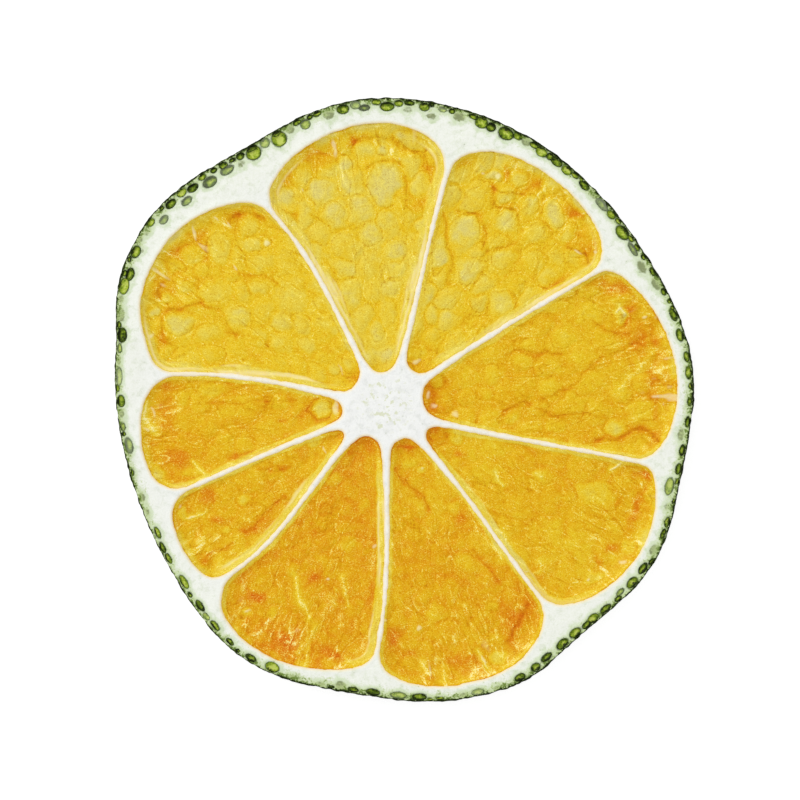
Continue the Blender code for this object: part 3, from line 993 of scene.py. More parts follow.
surface = nearest_finder(flat)
gland_points = []
carried = {"gland_turn": [], "gland_size": [], "gland_tone": [], "gland_fade": []}
for gx, gy, turn, long, wide, tone, fade in glands[cut_open]:
    k = surface.find((gx, gy, 0.0))[1]
    for height, roll in ((top[k] + pits[k], 0.0), (max(bottom[k] - pits[k], LEAST_LEVEL), math.pi)):
        gland_points.append(((gx + core[0]) * MM, (gy + core[1]) * MM, height * MM))
        carried["gland_turn"].append((roll, 0.0, turn))
        carried["gland_size"].append((wide * MM, long * MM, min(wide, 0.8) * (1 - fade) * MM))
        carried["gland_tone"].append(tone)
        carried["gland_fade"].append(fade)
gland_mesh = bpy.data.meshes.new("oil_glands")
gland_mesh.from_pydata(gland_points, [], [])
gland_piece = in_scene("oil_glands", gland_mesh)
for name, values in carried.items():
    put_attribute(gland_piece, name, values)

# %% Run the tree and keep its result
modifier = gland_piece.modifiers.new("set_out_glands", "NODES")
modifier.node_group = gland_tree
settings = {"Cup": cup, "Push": GLAND_PUSH * MM, "Lump Size": GLAND_LUMP * MM, "Finish": gland_green}
for name, value in settings.items():
    modifier[tree_inputs[name].identifier] = value
bpy.context.view_layer.update()
evaluated = gland_piece.evaluated_get(bpy.context.evaluated_depsgraph_get())
real_mesh = bpy.data.meshes.new_from_object(evaluated)
gland_piece.modifiers.clear()
gland_piece.data = real_mesh
real_mesh.name = "oil_glands"
print("oil_glands:", len(real_mesh.polygons), "faces")

# %% [markdown]
# ## Pulp: overlapping juice sacs
#
# The pulp is a sheet of flattened juice sacs. Each one is an oval that dried clear and pale in its middle.
# A part of its edge shows as a dark line with a light one beside it, a painted glint, and there is a furrow
# where two sacs meet. The largest and clearest are noted in a table below, and a rule with a fixed seed
# scatters smaller ones over the room that is left. A point belongs to the sac whose edge it is deepest
# inside, and lies on a seam where two sacs claim it equally. Two layers with different sacs lie over each
# other, because the dried sheet is clear enough to show the sacs below.

# %% Lay out sacs and find their seams
SAC_TRIES = 1200
SAC_ROOM = 0.42  # the room between two middles, as a share of both widths: under half, so that sacs overlap
SAC_SEEN = 1.6  # the reach beyond which nothing of a sac's edge shows
SAC_WIDTH = 2.2
DEEP_SAC_WIDTH = 3.2
FAR = 99.0


def sac_ovals(outline, noted, usual, clearness, seed):
    """Rows (x, y, length, width, heading, how clear): the noted sacs, and others between them."""
    pick = np.random.default_rng(seed)
    rows = [list(row) for row in noted]
    for x, y in pick.uniform(outline.min(0) - 2.0, outline.max(0) + 2.0, (SAC_TRIES, 2)):
        width = usual * pick.uniform(0.75, 1.25) * (0.7 + 0.3 * min(1.0, math.hypot(x, y) / 14))
        length = width * pick.uniform(1.1, 1.6)
        room = [SAC_ROOM * (math.sqrt(row[2] * row[3]) + math.sqrt(length * width)) for row in rows]
        if all(math.hypot(x - row[0], y - row[1]) > space for row, space in zip(rows, room)):
            heading = math.degrees(math.atan2(y, x)) + pick.normal(0, 20)
            rows.append([x, y, length, width, heading, clearness * pick.uniform(0.0, 1.0)])
    return np.array(rows)


def oval_reach(x, y, row):
    """0 at the middle of an oval and 1 on its edge."""
    ox, oy, long, wide, heading = row[:5]
    turn = math.radians(heading)
    along = (x - ox) * math.cos(turn) + (y - oy) * math.sin(turn)
    across = (y - oy) * math.cos(turn) - (x - ox) * math.sin(turn)
    return np.hypot(along / (long / 2), across / (wide / 2))


def sac_reaches(x, y, ovals, seed):
    """(reach to the nearest sac, to the next one, its number, its edge's dark line, and the painted glint
    beside it)
    """
    starts = np.random.default_rng(seed).uniform(-math.pi, math.pi, len(ovals))
    first, second = np.full((2, len(x)), FAR)
    rim, glint = np.zeros((2, len(x)))
    sac = np.zeros(len(x), int)
    for k, row in enumerate(ovals):
        reach = oval_reach(x, y, row)
        wins = reach < first
        second = np.where(wins, first, np.minimum(second, reach))
        first = np.where(wins, reach, first)
        sac[wins] = k
        near = np.flatnonzero(reach < SAC_SEEN)
        past_edge = (reach[near] - 1) * math.sqrt(row[2] * row[3]) / 2
        way = np.arctan2(y[near] - row[1], x[near] - row[0])
        shown = ease(np.cos(way - starts[k]), -0.5, 0.6) * (0.4 + 0.6 * row[5])
        rim[near] = np.maximum(rim[near], shown * soft_line(past_edge, 0.085))
        # Painted glint: a light line just outside the sac's dark edge.
        glint[near] = np.maximum(glint[near], shown * soft_line(past_edge - 0.19, 0.10))
    return first, second, sac, rim, glint


# %% [markdown]
# ## What sets each segment apart
#
# The segments dried differently. Those at the top stayed pale yellow and show their sacs clearly, and those
# at the bottom went a deeper orange and dried to a smooth sheet. Along some membranes the sac layer stops
# short and leaves a clear pale band. The first table gives each segment's warmth, how clearly its net of
# sacs shows, and the width of the band on its two sides, the clockwise one first.
#
# The others list what makes each segment itself, as a maker would note it down: the large clear sacs, the
# stains where juice dried, the creases, and the flecks, which are partly loose white skin and partly painted
# highlights. Places are right of and above the core, places and sizes are in millimetres, and a heading is
# in degrees from the right, counterclockwise.

# %% Segments
SEGMENTS = {  # warmth, how clearly the sacs show, width of the clockwise band and of the other one
    "pulp_segment_1": (0.54, 0.55, 0.30, 0.40),
    "pulp_segment_2": (0.39, 1.00, 0.75, 0.30),
    "pulp_segment_3": (0.32, 0.85, 0.90, 0.90),
    "pulp_segment_4": (0.40, 0.75, 0.30, 0.80),
    "pulp_segment_5": (0.58, 0.35, 0.30, 0.45),
    "pulp_segment_6": (0.58, 0.25, 0.35, 0.75),
    "pulp_segment_7": (0.70, 0.20, 0.35, 0.75),
    "pulp_segment_8": (0.61, 0.25, 0.30, 0.30),
    "pulp_segment_9": (0.55, 0.30, 0.60, 0.35),
}

# %% Clear sacs
CLEAR_SACS = {  # right, up, length, width, heading, how clear
    "pulp_segment_1": (
        (18, 7.1, 2.8, 2.2, 20, 0.5), (22.7, 6.7, 2.8, 2.4, 20, 0.35), (14.6, 6.4, 2, 1.6, 0, 0.4),
        (23.1, -2.3, 1.9, 1.7, 0, 0.8), (12.5, -1.1, 2.8, 1.5, 10, 0.6), (17.3, -2.1, 2.2, 1.5, 0, 0.5),
        (5.2, 2.5, 1.9, 1.5, 30, 0.8), (24.2, 9.1, 2, 1.3, 100, 1), (17, 10.5, 2.8, 2.1, 10, 0.35),
        (10.6, 3.4, 2.2, 1.6, 80, 0.4), (20.6, 2.4, 3, 2.2, 20, 0.25),
    ),
    "pulp_segment_2": (
        (8.1, 18.2, 3.6, 3, 80, 0.9), (12.4, 19.2, 2.5, 2.2, 60, 0.8), (17.1, 19.9, 3, 1.7, 110, 0.9),
        # The clear sac at 10.9 right and 23.9 up is a painted highlight, a whitish patch.
        (7.3, 23.5, 2.1, 1.7, 30, 0.6), (10.9, 23.9, 2.1, 1.4, 0, 0.8), (13.6, 23.6, 2, 1.9, 0, 0.6),
        (5.4, 15.6, 4, 1.7, 80, 0.8), (4.2, 11.4, 3, 1.5, 70, 0.7), (15.1, 14.9, 2.7, 2.5, 30, 0.4),
        (19.7, 21, 1.7, 1.1, 130, 0.8), (8.6, 14, 2.6, 2.3, 60, 0.7), (11.8, 15.4, 2.4, 2, 40, 0.5),
        (6.2, 8.9, 2.2, 1.6, 60, 0.6), (9.3, 10.7, 2.2, 1.8, 50, 0.5),
    ),
    "pulp_segment_3": (
        (-0.2, 22.8, 4.7, 3.5, 105, 1), (-2.5, 26.4, 2.6, 1.5, 0, 0.6), (-0.5, 26.5, 1.2, 1.1, 0, 0.9),
        (-4.4, 24.9, 2.4, 1.4, 110, 0.9), (-6.9, 22.3, 3.2, 3, 60, 0.7), (-10.3, 21.6, 2.2, 1.6, 100, 0.7),
        (3.4, 22.7, 3, 2.2, 85, 0.6), (3.2, 18.6, 1.5, 1.2, 90, 0.6), (2.2, 27.3, 4.2, 1.3, -22, 0.8),
        (-5.5, 19.7, 3, 2.2, 100, 0.6), (-1.7, 17.6, 2.8, 2.4, 90, 0.6), (-4.2, 14.2, 2.6, 2, 110, 0.5),
        (0.6, 12.2, 2.6, 1.9, 90, 0.5), (-1.2, 8, 2.2, 1.6, 100, 0.6), (1, 16, 2.2, 1.9, 80, 0.5),
        (0, 5.2, 1.6, 1.2, 90, 0.5),
    ),
    "pulp_segment_4": (
        (-17.2, 16.3, 3.4, 2.6, 100, 0.7), (-13.8, 16.9, 2.2, 1.5, 0, 0.8), (-12.5, 16.9, 1.1, 1, 0, 1),
        (-19, 14.1, 1.7, 1.5, 0, 0.4), (-21.3, 8.6, 3, 2.8, 20, 0.8), (-17.8, 11.8, 3.8, 2.1, 0, 0.5),
        (-13.2, 15, 2.5, 1.7, 0, 0.5), (-15.2, 9.1, 2.7, 2.2, 0, 0.6), (-13.2, 12.3, 2.3, 1.6, 0, 0.5),
        (-22.8, 11.2, 1.5, 1.1, 90, 0.9), (-23.9, 9.7, 1.3, 0.9, 0, 0.9), (-11, 8.8, 2.2, 1.8, 140, 0.5),
        (-8.2, 6, 2.2, 1.6, 140, 0.5), (-18, 5.4, 2.6, 1.9, 170, 0.4), (-5.6, 3.8, 1.6, 1.2, 140, 0.6),
    ),
    "pulp_segment_5": (
        (-6.3, -0.35, 3, 2.7, 0, 1), (-15.2, 0, 4.4, 2.8, 0, 0.45), (-17.9, 1.9, 3, 1.5, 0, 0.5),
        (-23.3, -6.8, 1.9, 1.3, 100, 0.8), (-20, -6.6, 2.4, 1, 0, 0.5), (-11.2, 0.6, 2.4, 1.6, 0, 0.3),
    ),
    "pulp_segment_6": (
        (-14.7, -9.5, 1.3, 1.2, 20, 0.7), (-16.5, -12.7, 1.3, 1, 20, 0.6), (-7.4, -3.6, 1.7, 1.1, 30, 0.6),
        (-20.9, -11, 2.4, 0.9, 75, 0.7), (-11.5, -7, 2.6, 1.5, 35, 0.3),
    ),
    "pulp_segment_7": (
        (-5.3, -7.5, 2, 1.8, 60, 0.5), (-2.3, -10, 1.5, 1.2, 80, 0.5), (-14.4, -21.1, 1.9, 1, 10, 0.7),
        (-11.8, -20.9, 1.7, 1.2, 60, 0.5), (-9.7, -16.4, 1.7, 1.5, 50, 0.3), (-4, -14, 2.4, 1.8, 80, 0.25),
    ),
    "pulp_segment_8": (
        (3.5, -6.3, 1, 0.8, 0, 0.8), (2, -5.5, 2, 1.5, 0, 0.4), (5.3, -21.2, 2.5, 2.2, 90, 0.5),
        (11.5, -25.7, 2.2, 1.6, 30, 0.9), (10.8, -20.3, 1.5, 1.1, 0, 0.5), (6.9, -10.2, 1.5, 1.3, 100, 0.4),
        (8, -16, 2.6, 2.2, 110, 0.3),
    ),
    "pulp_segment_9": (
        (21.6, -8.9, 4.8, 3.4, -20, 0.6), (7, -3.1, 1.9, 1.4, -30, 0.7), (26.9, -8.9, 2.1, 1.1, 85, 0.9),
        (23.6, -12.6, 1.9, 1.7, 0, 0.25), (24.7, -14.2, 2, 1.6, 40, 0.6), (21.1, -17.5, 2.6, 1.2, 25, 0.7),
        (16, -7, 2.6, 2, -30, 0.3), (17, -12.5, 2.6, 2.2, -40, 0.3),
    ),
}

# %% Stains
STAINS = {  # right, up, length, width, heading, how much warmer
    "pulp_segment_1": (
        (23.8, 12.3, 3.6, 2, 0, 0.4), (25.9, 6.8, 2.8, 4.2, 0, 0.33), (20.7, 12.6, 3, 1, 10, 0.2),
        (27, 2.5, 1.8, 4.4, 0, 0.25), (5.6, 0, 1.6, 1.1, 0, 0.25), (27.6, -0.6, 0.8, 2.2, 10, 0.35),
        (14, 3.4, 6, 2.2, 10, 0.1),
    ),
    "pulp_segment_2": (
        (12.3, 24.3, 1.7, 0.8, 80, 0.5), (15.1, 22.7, 2.6, 2, 90, 0.28), (19.3, 19.9, 2.8, 0.8, -15, 0.5),
        (21.2, 16.4, 2.9, 2.4, 0, 0.45), (19.8, 18, 2.6, 2.2, 0, 0.25), (8.6, 25.2, 4, 0.9, 20, 0.22),
        (14, 25.6, 5, 0.9, -18, 0.28), (17.2, 12.4, 3.6, 1.3, 32, 0.35),
    ),
    "pulp_segment_3": (
        (-7.4, 26, 5.4, 2.6, 28, 0.48), (-6.2, 25.2, 2.6, 1.6, 30, 0.25), (-10.1, 23.4, 2.4, 1.7, 60, 0.42),
        (-3.6, 27.1, 1.8, 0.8, 20, 0.35), (3.3, 20.7, 2.4, 2, 80, 0.4), (4.3, 24.2, 1.6, 4.2, 0, 0.26),
        (-1.6, 20, 1.6, 1.2, 90, 0.15),
    ),
    "pulp_segment_4": (
        (-19, 17.8, 1.6, 1.3, 0, 0.26), (-21.9, 15.7, 2.4, 2.4, 40, 0.28), (-20.7, 13.1, 1.9, 1, -20, 0.28),
        (-22, 12.4, 2.4, 1.3, 60, 0.25), (-22.9, 6.4, 2.6, 1.3, 90, 0.3), (-14.8, 19.6, 3.6, 0.9, -5, 0.25),
        (-16, 13.8, 2, 1.6, 0, 0.15),
    ),
    "pulp_segment_5": (
        (-22.5, -0.2, 2.4, 5, 0, 0.32), (-21.3, -5, 3.4, 1.8, 0, 0.28), (-22.6, 2.4, 2.4, 1.2, 20, 0.25),
        (-8.4, -0.6, 1.2, 2.4, 0, 0.15),
    ),
    "pulp_segment_6": (
        (-18.5, -9.2, 2.6, 2, 0, 0.32), (-17.3, -11.6, 2.2, 1.1, -15, 0.35),
        (-18.8, -16, 1.8, 1.2, 0, 0.25), (-13.5, -12.2, 3.4, 1.6, 35, 0.2), (-19.6, -12.6, 2, 2.4, 0, 0.15),
        (-8.6, -4.8, 1.2, 1.2, 0, 0.15),
    ),
    "pulp_segment_7": (
        (-13.4, -19.5, 2.4, 1.7, 0, 0.48), (-7.3, -17.3, 2.4, 1.2, 45, 0.35),
        (-12.9, -15.1, 2.8, 2, 30, 0.25), (-10.3, -23.6, 2.8, 1.4, -20, 0.32),
        (-5.6, -25.3, 2.6, 1.2, 0, 0.35), (-1.5, -19, 1.4, 2.8, 0, 0.25), (-15, -17.5, 2, 3.2, 0, 0.2),
    ),
    "pulp_segment_8": (
        (0.6, -23.6, 1.8, 2.6, 0, 0.35), (7.9, -26, 4.2, 1.6, 10, 0.25), (2, -4.1, 2.2, 0.5, 0, 0.45),
        (12.6, -21.5, 2.6, 3.4, 0, 0.15), (7.6, -11.4, 1, 1.6, -30, 0.25), (2.6, -25.4, 3, 1.4, -20, 0.2),
    ),
    "pulp_segment_9": (
        (23.1, -14.4, 2, 1, 20, 0.45), (25.4, -11, 0.9, 4.2, -10, 0.32), (21.6, -15.9, 1.5, 2.1, 0, 0.28),
        (26.4, -7, 1.6, 1.1, 0, 0.38), (7.5, -4.7, 1.4, 1, 0, 0.28), (14.9, -17, 2.4, 2.4, 0, 0.2),
        (17.4, -18.6, 3.6, 1, -20, 0.15),
    ),
}

# %% Creases and flecks
CREASES = {  # width, how much darker (or lighter, below zero), then its points
    "pulp_segment_1": (
        (0.22, 0.42, (21.6, -3.4), (23.4, -3.5), (24.6, -2.8), (25.8, -2.2), (27, -2.8), (27.8, -3.5)),
        (0.24, -0.28, (23.6, 1.8), (24.8, 3.4), (27.4, 5.6)),
        (0.16, 0.25, (12, 5.2), (14.2, 5.9), (17.6, 5.4)), (0.14, 0.25, (21, 9), (22.6, 8), (24.8, 7.4)),
        (0.14, 0.22, (15.6, 0.6), (18.6, 1.8), (22, 5.2)),
        (0.14, 0.25, (11.4, -0.4), (14, 0.4), (17.4, -0.9), (20.6, -0.6), (22.4, -1)),
        (0.16, -0.9, (23.5, 9.8), (24, 10.2), (24.5, 9.4)), (0.4, 0.3, (24.2, 9.3), (24.4, 8.8)),
    ),
    "pulp_segment_2": (
        (0.16, 0.3, (7.6, 20.4), (9.4, 19.6), (10.2, 18), (9.6, 16.2)),
        (0.15, 0.35, (11, 22.4), (14.2, 21.6)), (0.15, 0.3, (11.1, 22.3), (11.2, 20.6), (13.4, 20.2)),
        (0.14, 0.3, (15.6, 19.4), (16.7, 18.4)), (0.22, 0.45, (18.6, 16.4), (20.2, 15.8), (20.4, 14.8)),
        (0.2, -0.4, (15, 21), (16.6, 22.8)), (0.18, 0.3, (5.9, 19.6), (6.2, 17.2), (6.7, 15), (6.2, 13)),
        (0.15, 0.25, (9.4, 15.4), (12.6, 17)),
    ),
    "pulp_segment_3": (
        (0.34, 0.32, (-3.2, 27.2), (-1.2, 27.6), (0.8, 27.2), (2.6, 26.5), (3.8, 25.8), (4.2, 24.4)),
        (0.2, 0.4, (-2.2, 24.7), (-0.6, 25.3), (0.6, 25.4), (1.6, 24.6)),
        (0.26, 0.3, (1.8, 23.6), (2.2, 22), (2, 20.4)), (0.2, 0.42, (-11.2, 20.2), (-9.4, 19.6)),
        (0.2, -0.45, (-4.9, 24.6), (-4.4, 23), (-4, 22.4)),
        (0.14, 0.2, (-7.6, 20), (-5, 18.2), (-3.4, 18.6)),
    ),
    "pulp_segment_4": (
        (0.24, 0.32, (-16.1, 19.2), (-14.5, 20), (-12.6, 19.5)),
        (0.22, 0.36, (-22.6, 9.9), (-21, 10.3), (-19, 10.5)), (0.22, 0.32, (-23, 9.1), (-22.9, 6.9)),
        (0.18, 0.3, (-23, 12.8), (-23.5, 11.1)), (0.14, 0.22, (-18.8, 10.4), (-17, 9.8), (-15.8, 7.4)),
        (0.16, 0.25, (-18.6, 17), (-18.2, 15)), (0.14, 0.22, (-14.6, 13.6), (-12.4, 13.8), (-10.6, 12)),
        (0.14, 0.22, (-16.6, 7.6), (-13.4, 7.2), (-11.6, 6)),
    ),
    "pulp_segment_5": (
        (0.13, 0.4, (-8.2, -0.4), (-7.8, 0.5), (-6.9, 0.9), (-6, 0.5), (-5.6, -0.4), (-6, -1.2),
         (-7.2, -1.5), (-8.2, -0.4)),
        (0.14, 0.25, (-11.2, -1.4), (-9.8, -0.9), (-8.5, -1)),
        (0.13, 0.25, (-15.6, -4.8), (-12, -4), (-8.2, -3.3)), (0.18, -0.5, (-19.8, -5.4), (-18.9, -6.8)),
        (0.14, 0.22, (-18.4, 0.6), (-13.6, 0.4), (-9.4, 0.8)),
        (0.2, -0.4, (-24.6, 0.6), (-24.9, -1), (-24, -2.6)),
        (0.16, 0.25, (-16, -5.2), (-13.4, -4.6), (-10, -3.8)),
    ),
    "pulp_segment_6": (
        (0.16, 0.22, (-13.2, -6.4), (-11.4, -6.6), (-10, -6)), (0.16, -0.45, (-20.6, -11.5), (-19, -11.1)),
        (0.14, 0.25, (-14.4, -12.8), (-10.4, -9)), (0.14, -0.35, (-17.4, -16.6), (-14.4, -14.8)),
        (0.14, 0.25, (-18.6, -15.2), (-15.6, -14)),
    ),
    "pulp_segment_7": (
        (0.2, -0.45, (-9.4, -17.2), (-8.8, -19.6), (-8.2, -21.4)),
        (0.16, -0.35, (-4.4, -17.4), (-4.2, -20)), (0.14, -0.3, (-5.3, -18.8), (-5.4, -20)),
        (0.24, -0.35, (-9.6, -25), (-8.2, -24.2), (-7.4, -22.4)), (0.16, -0.3, (-8.6, -26.4), (-8, -24.6)),
        (0.16, -0.3, (-4.4, -25.6), (-3.2, -26.8)),
    ),
    "pulp_segment_8": (
        (0.3, 0.4, (14.6, -20.2), (13.2, -22.2), (12.4, -24)), (0.16, -0.5, (9.4, -24.9), (10.5, -26.8)),
        (0.18, -0.35, (10.8, -14.2), (11.5, -15.8)), (0.15, 0.3, (2, -7.6), (3.4, -9.2), (4.2, -10.4)),
        (0.14, 0.25, (8.8, -14.4), (11.6, -18)), (0.24, -0.4, (3.6, -26), (3.9, -27.2)),
        (0.22, -0.35, (5.8, -26.6), (6, -28)), (0.14, 0.28, (0.8, -6.4), (1.8, -8)),
    ),
    "pulp_segment_9": (
        (0.14, -0.5, (11, -6.7), (11.2, -7.6), (11.7, -8.2)), (0.2, -0.45, (23.2, -6.3), (24.2, -5.7)),
        (0.22, -0.4, (10.8, -12.2), (12.6, -14.2), (14.2, -16.6)),
        (0.14, -0.4, (15.6, -15.6), (15.6, -16.8), (14.8, -17.2)),
        (0.14, -0.35, (15.3, -6.6), (15.8, -7.2)),
    ),
}
# Flecks of loose white skin and small painted highlights, such as the glint on the bubble left of the core
# in segment 5.
FLECKS_AND_HIGHLIGHTS = {  # right, up, length, width, heading
    "pulp_segment_1": (
        (6.9, -0.6, 0.7, 0.5, 40), (26.4, 9.1, 0.6, 0.35, 20), (24, 10, 1, 0.25, 20),
        (28, 7.1, 0.4, 0.3, 0), (16.4, 11.2, 0.9, 0.2, 20), (28.3, 0.4, 0.5, 0.3, 80),
        (4.7, 0.2, 0.8, 0.5, 20), (4, 1.3, 0.7, 0.5, 80),
    ),
    "pulp_segment_2": (
        (2.9, 4.6, 1, 0.5, 40), (11.3, 23.7, 0.8, 0.5, 60), (9.9, 24.1, 0.5, 0.4, 0),
        (19.5, 15.9, 0.9, 0.3, -35), (21.4, 15.7, 0.4, 0.3, 0),
    ),
    "pulp_segment_3": (
        (-5.4, 26.6, 1.5, 0.4, 95), (-8.7, 22.3, 0.8, 0.25, 100), (1.2, 25.6, 0.5, 0.3, 90),
    ),
    "pulp_segment_4": (
        (-4.9, 3.9, 1.3, 0.3, 125), (-19.6, 17.8, 2, 0.25, 92), (-17.5, 19.4, 0.7, 0.3, 120),
        (-24.2, 7.4, 0.7, 0.4, 30), (-15.4, 14.3, 0.9, 0.2, 120), (-12.4, 16.8, 0.7, 0.5, 120),
        (-16.2, 18.8, 0.8, 0.25, 125),
    ),
    "pulp_segment_5": (
        (-5.3, -0.1, 1.2, 0.7, 100), (-24, -0.6, 1.6, 0.4, 95), (-24.6, -2.4, 1, 0.4, 130),
    ),
    "pulp_segment_6": (
        (-6.4, -4.3, 0.9, 0.2, 100), (-20, -11.3, 1.2, 0.2, 20), (-21.1, -10.2, 0.8, 0.3, 80),
    ),
    "pulp_segment_7": (
        (-1.4, -14.2, 0.5, 0.35, 60), (-6.1, -17.6, 0.4, 0.4, 0), (-14.2, -21, 1.1, 0.35, 10),
    ),
    "pulp_segment_8": (
        (3.4, -22.6, 0.6, 0.5, 30), (10.1, -26, 1.3, 0.2, -60), (3.6, -6.2, 0.4, 0.3, 0),
        (-0.1, -21.7, 0.4, 0.3, 0),
    ),
    "pulp_segment_9": (
        (24.1, -15.8, 0.8, 0.5, -10), (23.7, -6, 1.2, 0.25, 30), (14.4, -16.8, 0.6, 0.2, 10),
        (20.6, -17.6, 0.5, 0.3, 20),
    ),
}
for table in (CLEAR_SACS, STAINS, CREASES, FLECKS_AND_HIGHLIGHTS):
    print(sum(len(rows) for rows in table.values()), "features noted")

# %% [markdown]
# ## From notes to surface
#
# Each noted feature is an oval or a line with a soft edge. Working out how far every point of the sheet is
# from it turns the note into two things at once: a change of colour, and a change of height, such as the
# dome of a sac or the valley of a crease. The places are first pushed about a little by noise, so that no
# oval is a true oval.

# %% How far a point is from a line


def line_distance(x, y, points):
    """The distance to a line through the points, in mm."""
    nearest = np.full(len(x), FAR)
    for (ax, ay), (bx, by) in zip(points, points[1:]):
        dx = bx - ax
        dy = by - ay
        t = np.clip(((x - ax) * dx + (y - ay) * dy) / (dx * dx + dy * dy), 0, 1)
        nearest = np.minimum(nearest, np.hypot(x - ax - t * dx, y - ay - t * dy))
    return nearest


# %% The sacs as colour and height


def sac_net(x, y, outline, name, net, seed):
    """(tone, mark, lift) from two layers of sacs, one over the other."""
    near = sac_ovals(outline, CLEAR_SACS[name], SAC_WIDTH, 0.75 * net, seed + 5)
    deep = sac_ovals(outline, (), DEEP_SAC_WIDTH, 0.5 * net, seed + 6)
    first, second, sac, rim, glint = sac_reaches(x, y, near, seed + 7)
    deep_first, _, deep_sac, deep_rim, deep_glint = sac_reaches(x, y, deep, seed + 8)
    seam = (second - first) * np.sqrt(near[sac, 2] * near[sac, 3]) / 4
    clear = near[sac, 5] * (1 - ease(first, 0.45, 1.25)) * ease(seam, 0.0, 0.35)
    clear = clear * (0.85 + 0.45 * soft_noise(x, y, 1.1, seed + 12))
    deep_clear = deep[deep_sac, 5] * (1 - ease(deep_first, 0.4, 1.3))
    seam_line = soft_line(seam, 0.08) * patches(x, y, 2.2, seed + 9, -0.2, 0.9)
    strength = 0.45 + 0.55 * net
    tone = -0.35 * clear - 0.16 * deep_clear + 0.05 * strength * (1 - ease(seam, 0.0, 0.35))
    mark = 0.75 * np.maximum(rim, 0.8 * seam_line) + 0.3 * deep_rim - 0.5 * glint - 0.25 * deep_glint
    lift = 0.10 * ease(seam, 0.0, 0.8) + 0.05 * (1 - ease(first, 0.2, 1.1)) - 0.03 * rim
    return tone, strength * mark, strength * lift


# %% Crinkles


def crinkles(x, y, angle, seed):
    """Thin creases, 0.5 to 2 mm long, that follow the fruit's rays: 1 on a crease and 0 away from it."""
    radius = np.hypot(x, y)
    total = np.zeros(len(x))
    for k, (along, across) in enumerate(((1.9, 0.8), (1.1, 0.55))):
        field = soft_noise(radius / along, angle * np.maximum(radius, 6.0) / across, 1.0, seed + 3 * k)
        total = np.maximum(total, soft_line(field, 0.10) * patches(x, y, 0.9, seed + 40 + k, 0.1, 0.5))
    return total


# %% The noted features as colour and height


def noted_features(x, y, name):
    """(stain, mark, lift, fleck) from the tables for one segment."""
    stain, mark, lift, fleck = np.zeros((4, len(x)))
    for row in STAINS[name]:
        stain += 0.85 * row[5] * np.exp(-1.3 * oval_reach(x, y, row) ** 2)
    for width, change, *points in CREASES[name]:
        away = line_distance(x, y, points)
        line = soft_line(away, 0.7 * width)
        mark += 1.8 * change * line
        stain += 0.5 * change * soft_line(away, 2.2 * width)
        lift -= 0.16 * change * line
    ragged = 0.4 * soft_noise(x, y, 0.4, 31)
    for row in FLECKS_AND_HIGHLIGHTS[name]:
        body = 1 - ease(oval_reach(x, y, row) + ragged, 0.3, 1.1)
        fleck = np.maximum(fleck, 0.6 * body)
        lift += 0.06 * body
    return stain, mark, lift, fleck


# %% [markdown]
# ## Ends, walls and bands
#
# The rest of a segment's look follows its shape, so it needs no table. The outer end is crumpled into folds
# that run along the fruit's rays, with light streaks between them and small pale flecks on the folds, both
# painted highlights. A dark line with a light one beside it runs along the walls, the inner tip is a little
# warmer, and the clear band beside a membrane has fine fibres along it and a dark border. Each of these is
# one function that gives the changes it makes, and the last one adds them up.

# %% The crumpled outer end


def crumpled_end(x, y, angle, push, from_wall, outwards, seed):
    """(tone, mark, lift, fleck) at the outer end of a segment."""
    radius = np.hypot(x, y)
    end = ease(outwards + 0.10 * soft_noise(x, y, 2.2, seed + 9), 0.82, 0.98)
    folds = soft_noise(angle * 26.0 + 0.4 * push, radius * 0.30, 1.0, seed + 20)
    finer = soft_noise(angle * 60.0, radius * 0.7, 1.0, seed + 21)
    # Painted highlights: the streaks between the folds, and the pale flecks on the folds that the last line
    # returns.
    highlight_streak = soft_line(soft_noise(angle * 34.0 + push, radius * 0.32, 1.0, seed + 22), 0.14)
    highlight_streak = highlight_streak * end * patches(x, y, 2.0, seed + 23, -0.2, 0.6)
    pale_wall = (1 - ease(from_wall, 0.2, 0.9)) * patches(x, y, 1.4, seed + 24, -0.5, 0.6)
    behind_wall = soft_line(from_wall - 1.5, 0.8) * patches(x, y, 1.8, seed + 25, -0.2, 0.7)
    tone = end * (0.02 + 0.10 * folds - 0.28 * pale_wall + 0.14 * behind_wall)
    mark = end * 0.35 * finer - 0.7 * highlight_streak
    lift = end * (0.10 * folds + 0.04 * finer) + 0.06 * highlight_streak
    return tone, mark, lift, 0.4 * end * ease(finer + 0.4 * folds, 0.85, 1.2)


# %% The walls and the inner tip


def wall_and_tip(x, y, from_wall, outwards, seed):
    """(tone, mark) along the walls and at the inner tip of a segment."""
    wall_line = soft_line(from_wall, 0.10) - 0.8 * soft_line(from_wall - 0.26, 0.12)
    tip = 1 - ease(outwards + 0.04 * soft_noise(x, y, 1.2, seed + 27), 0.02, 0.13)
    return 0.14 * tip, 0.25 * tip + 0.7 * patches(x, y, 1.7, seed + 26, -0.5, 0.5) * wall_line


# %% The clear bands


def clear_band(x, y, width, from_wall, outwards, seed):
    """(how much of a point is in a band, and the tone, mark and fleck there)"""
    radius = np.hypot(x, y)
    width = width * (1 + 0.45 * soft_noise(x, y, 3.0, seed + 13))
    beside = ease(outwards, 0.03, 0.14) * (1 - ease(outwards, 0.84, 0.95))
    in_band = (1 - ease(from_wall, width * 0.75, width + 0.08)) * beside
    streaks = soft_noise(radius / 3.0, from_wall / 0.22, 1.0, seed + 14)
    fibres = soft_line(soft_noise(radius / 2.2, from_wall / 0.26, 1.0, seed + 15), 0.16)
    border = soft_line(from_wall - width, 0.10) * patches(x, y, 2.0, seed + 16, -0.3, 0.7)
    tone = in_band * (0.16 + 0.10 * streaks)
    mark = 0.5 * border * beside - 0.6 * in_band * fibres
    return in_band, tone, mark, 0.4 * in_band * ease(streaks, -0.2, 0.9) * ease(width, 0.4, 0.8)


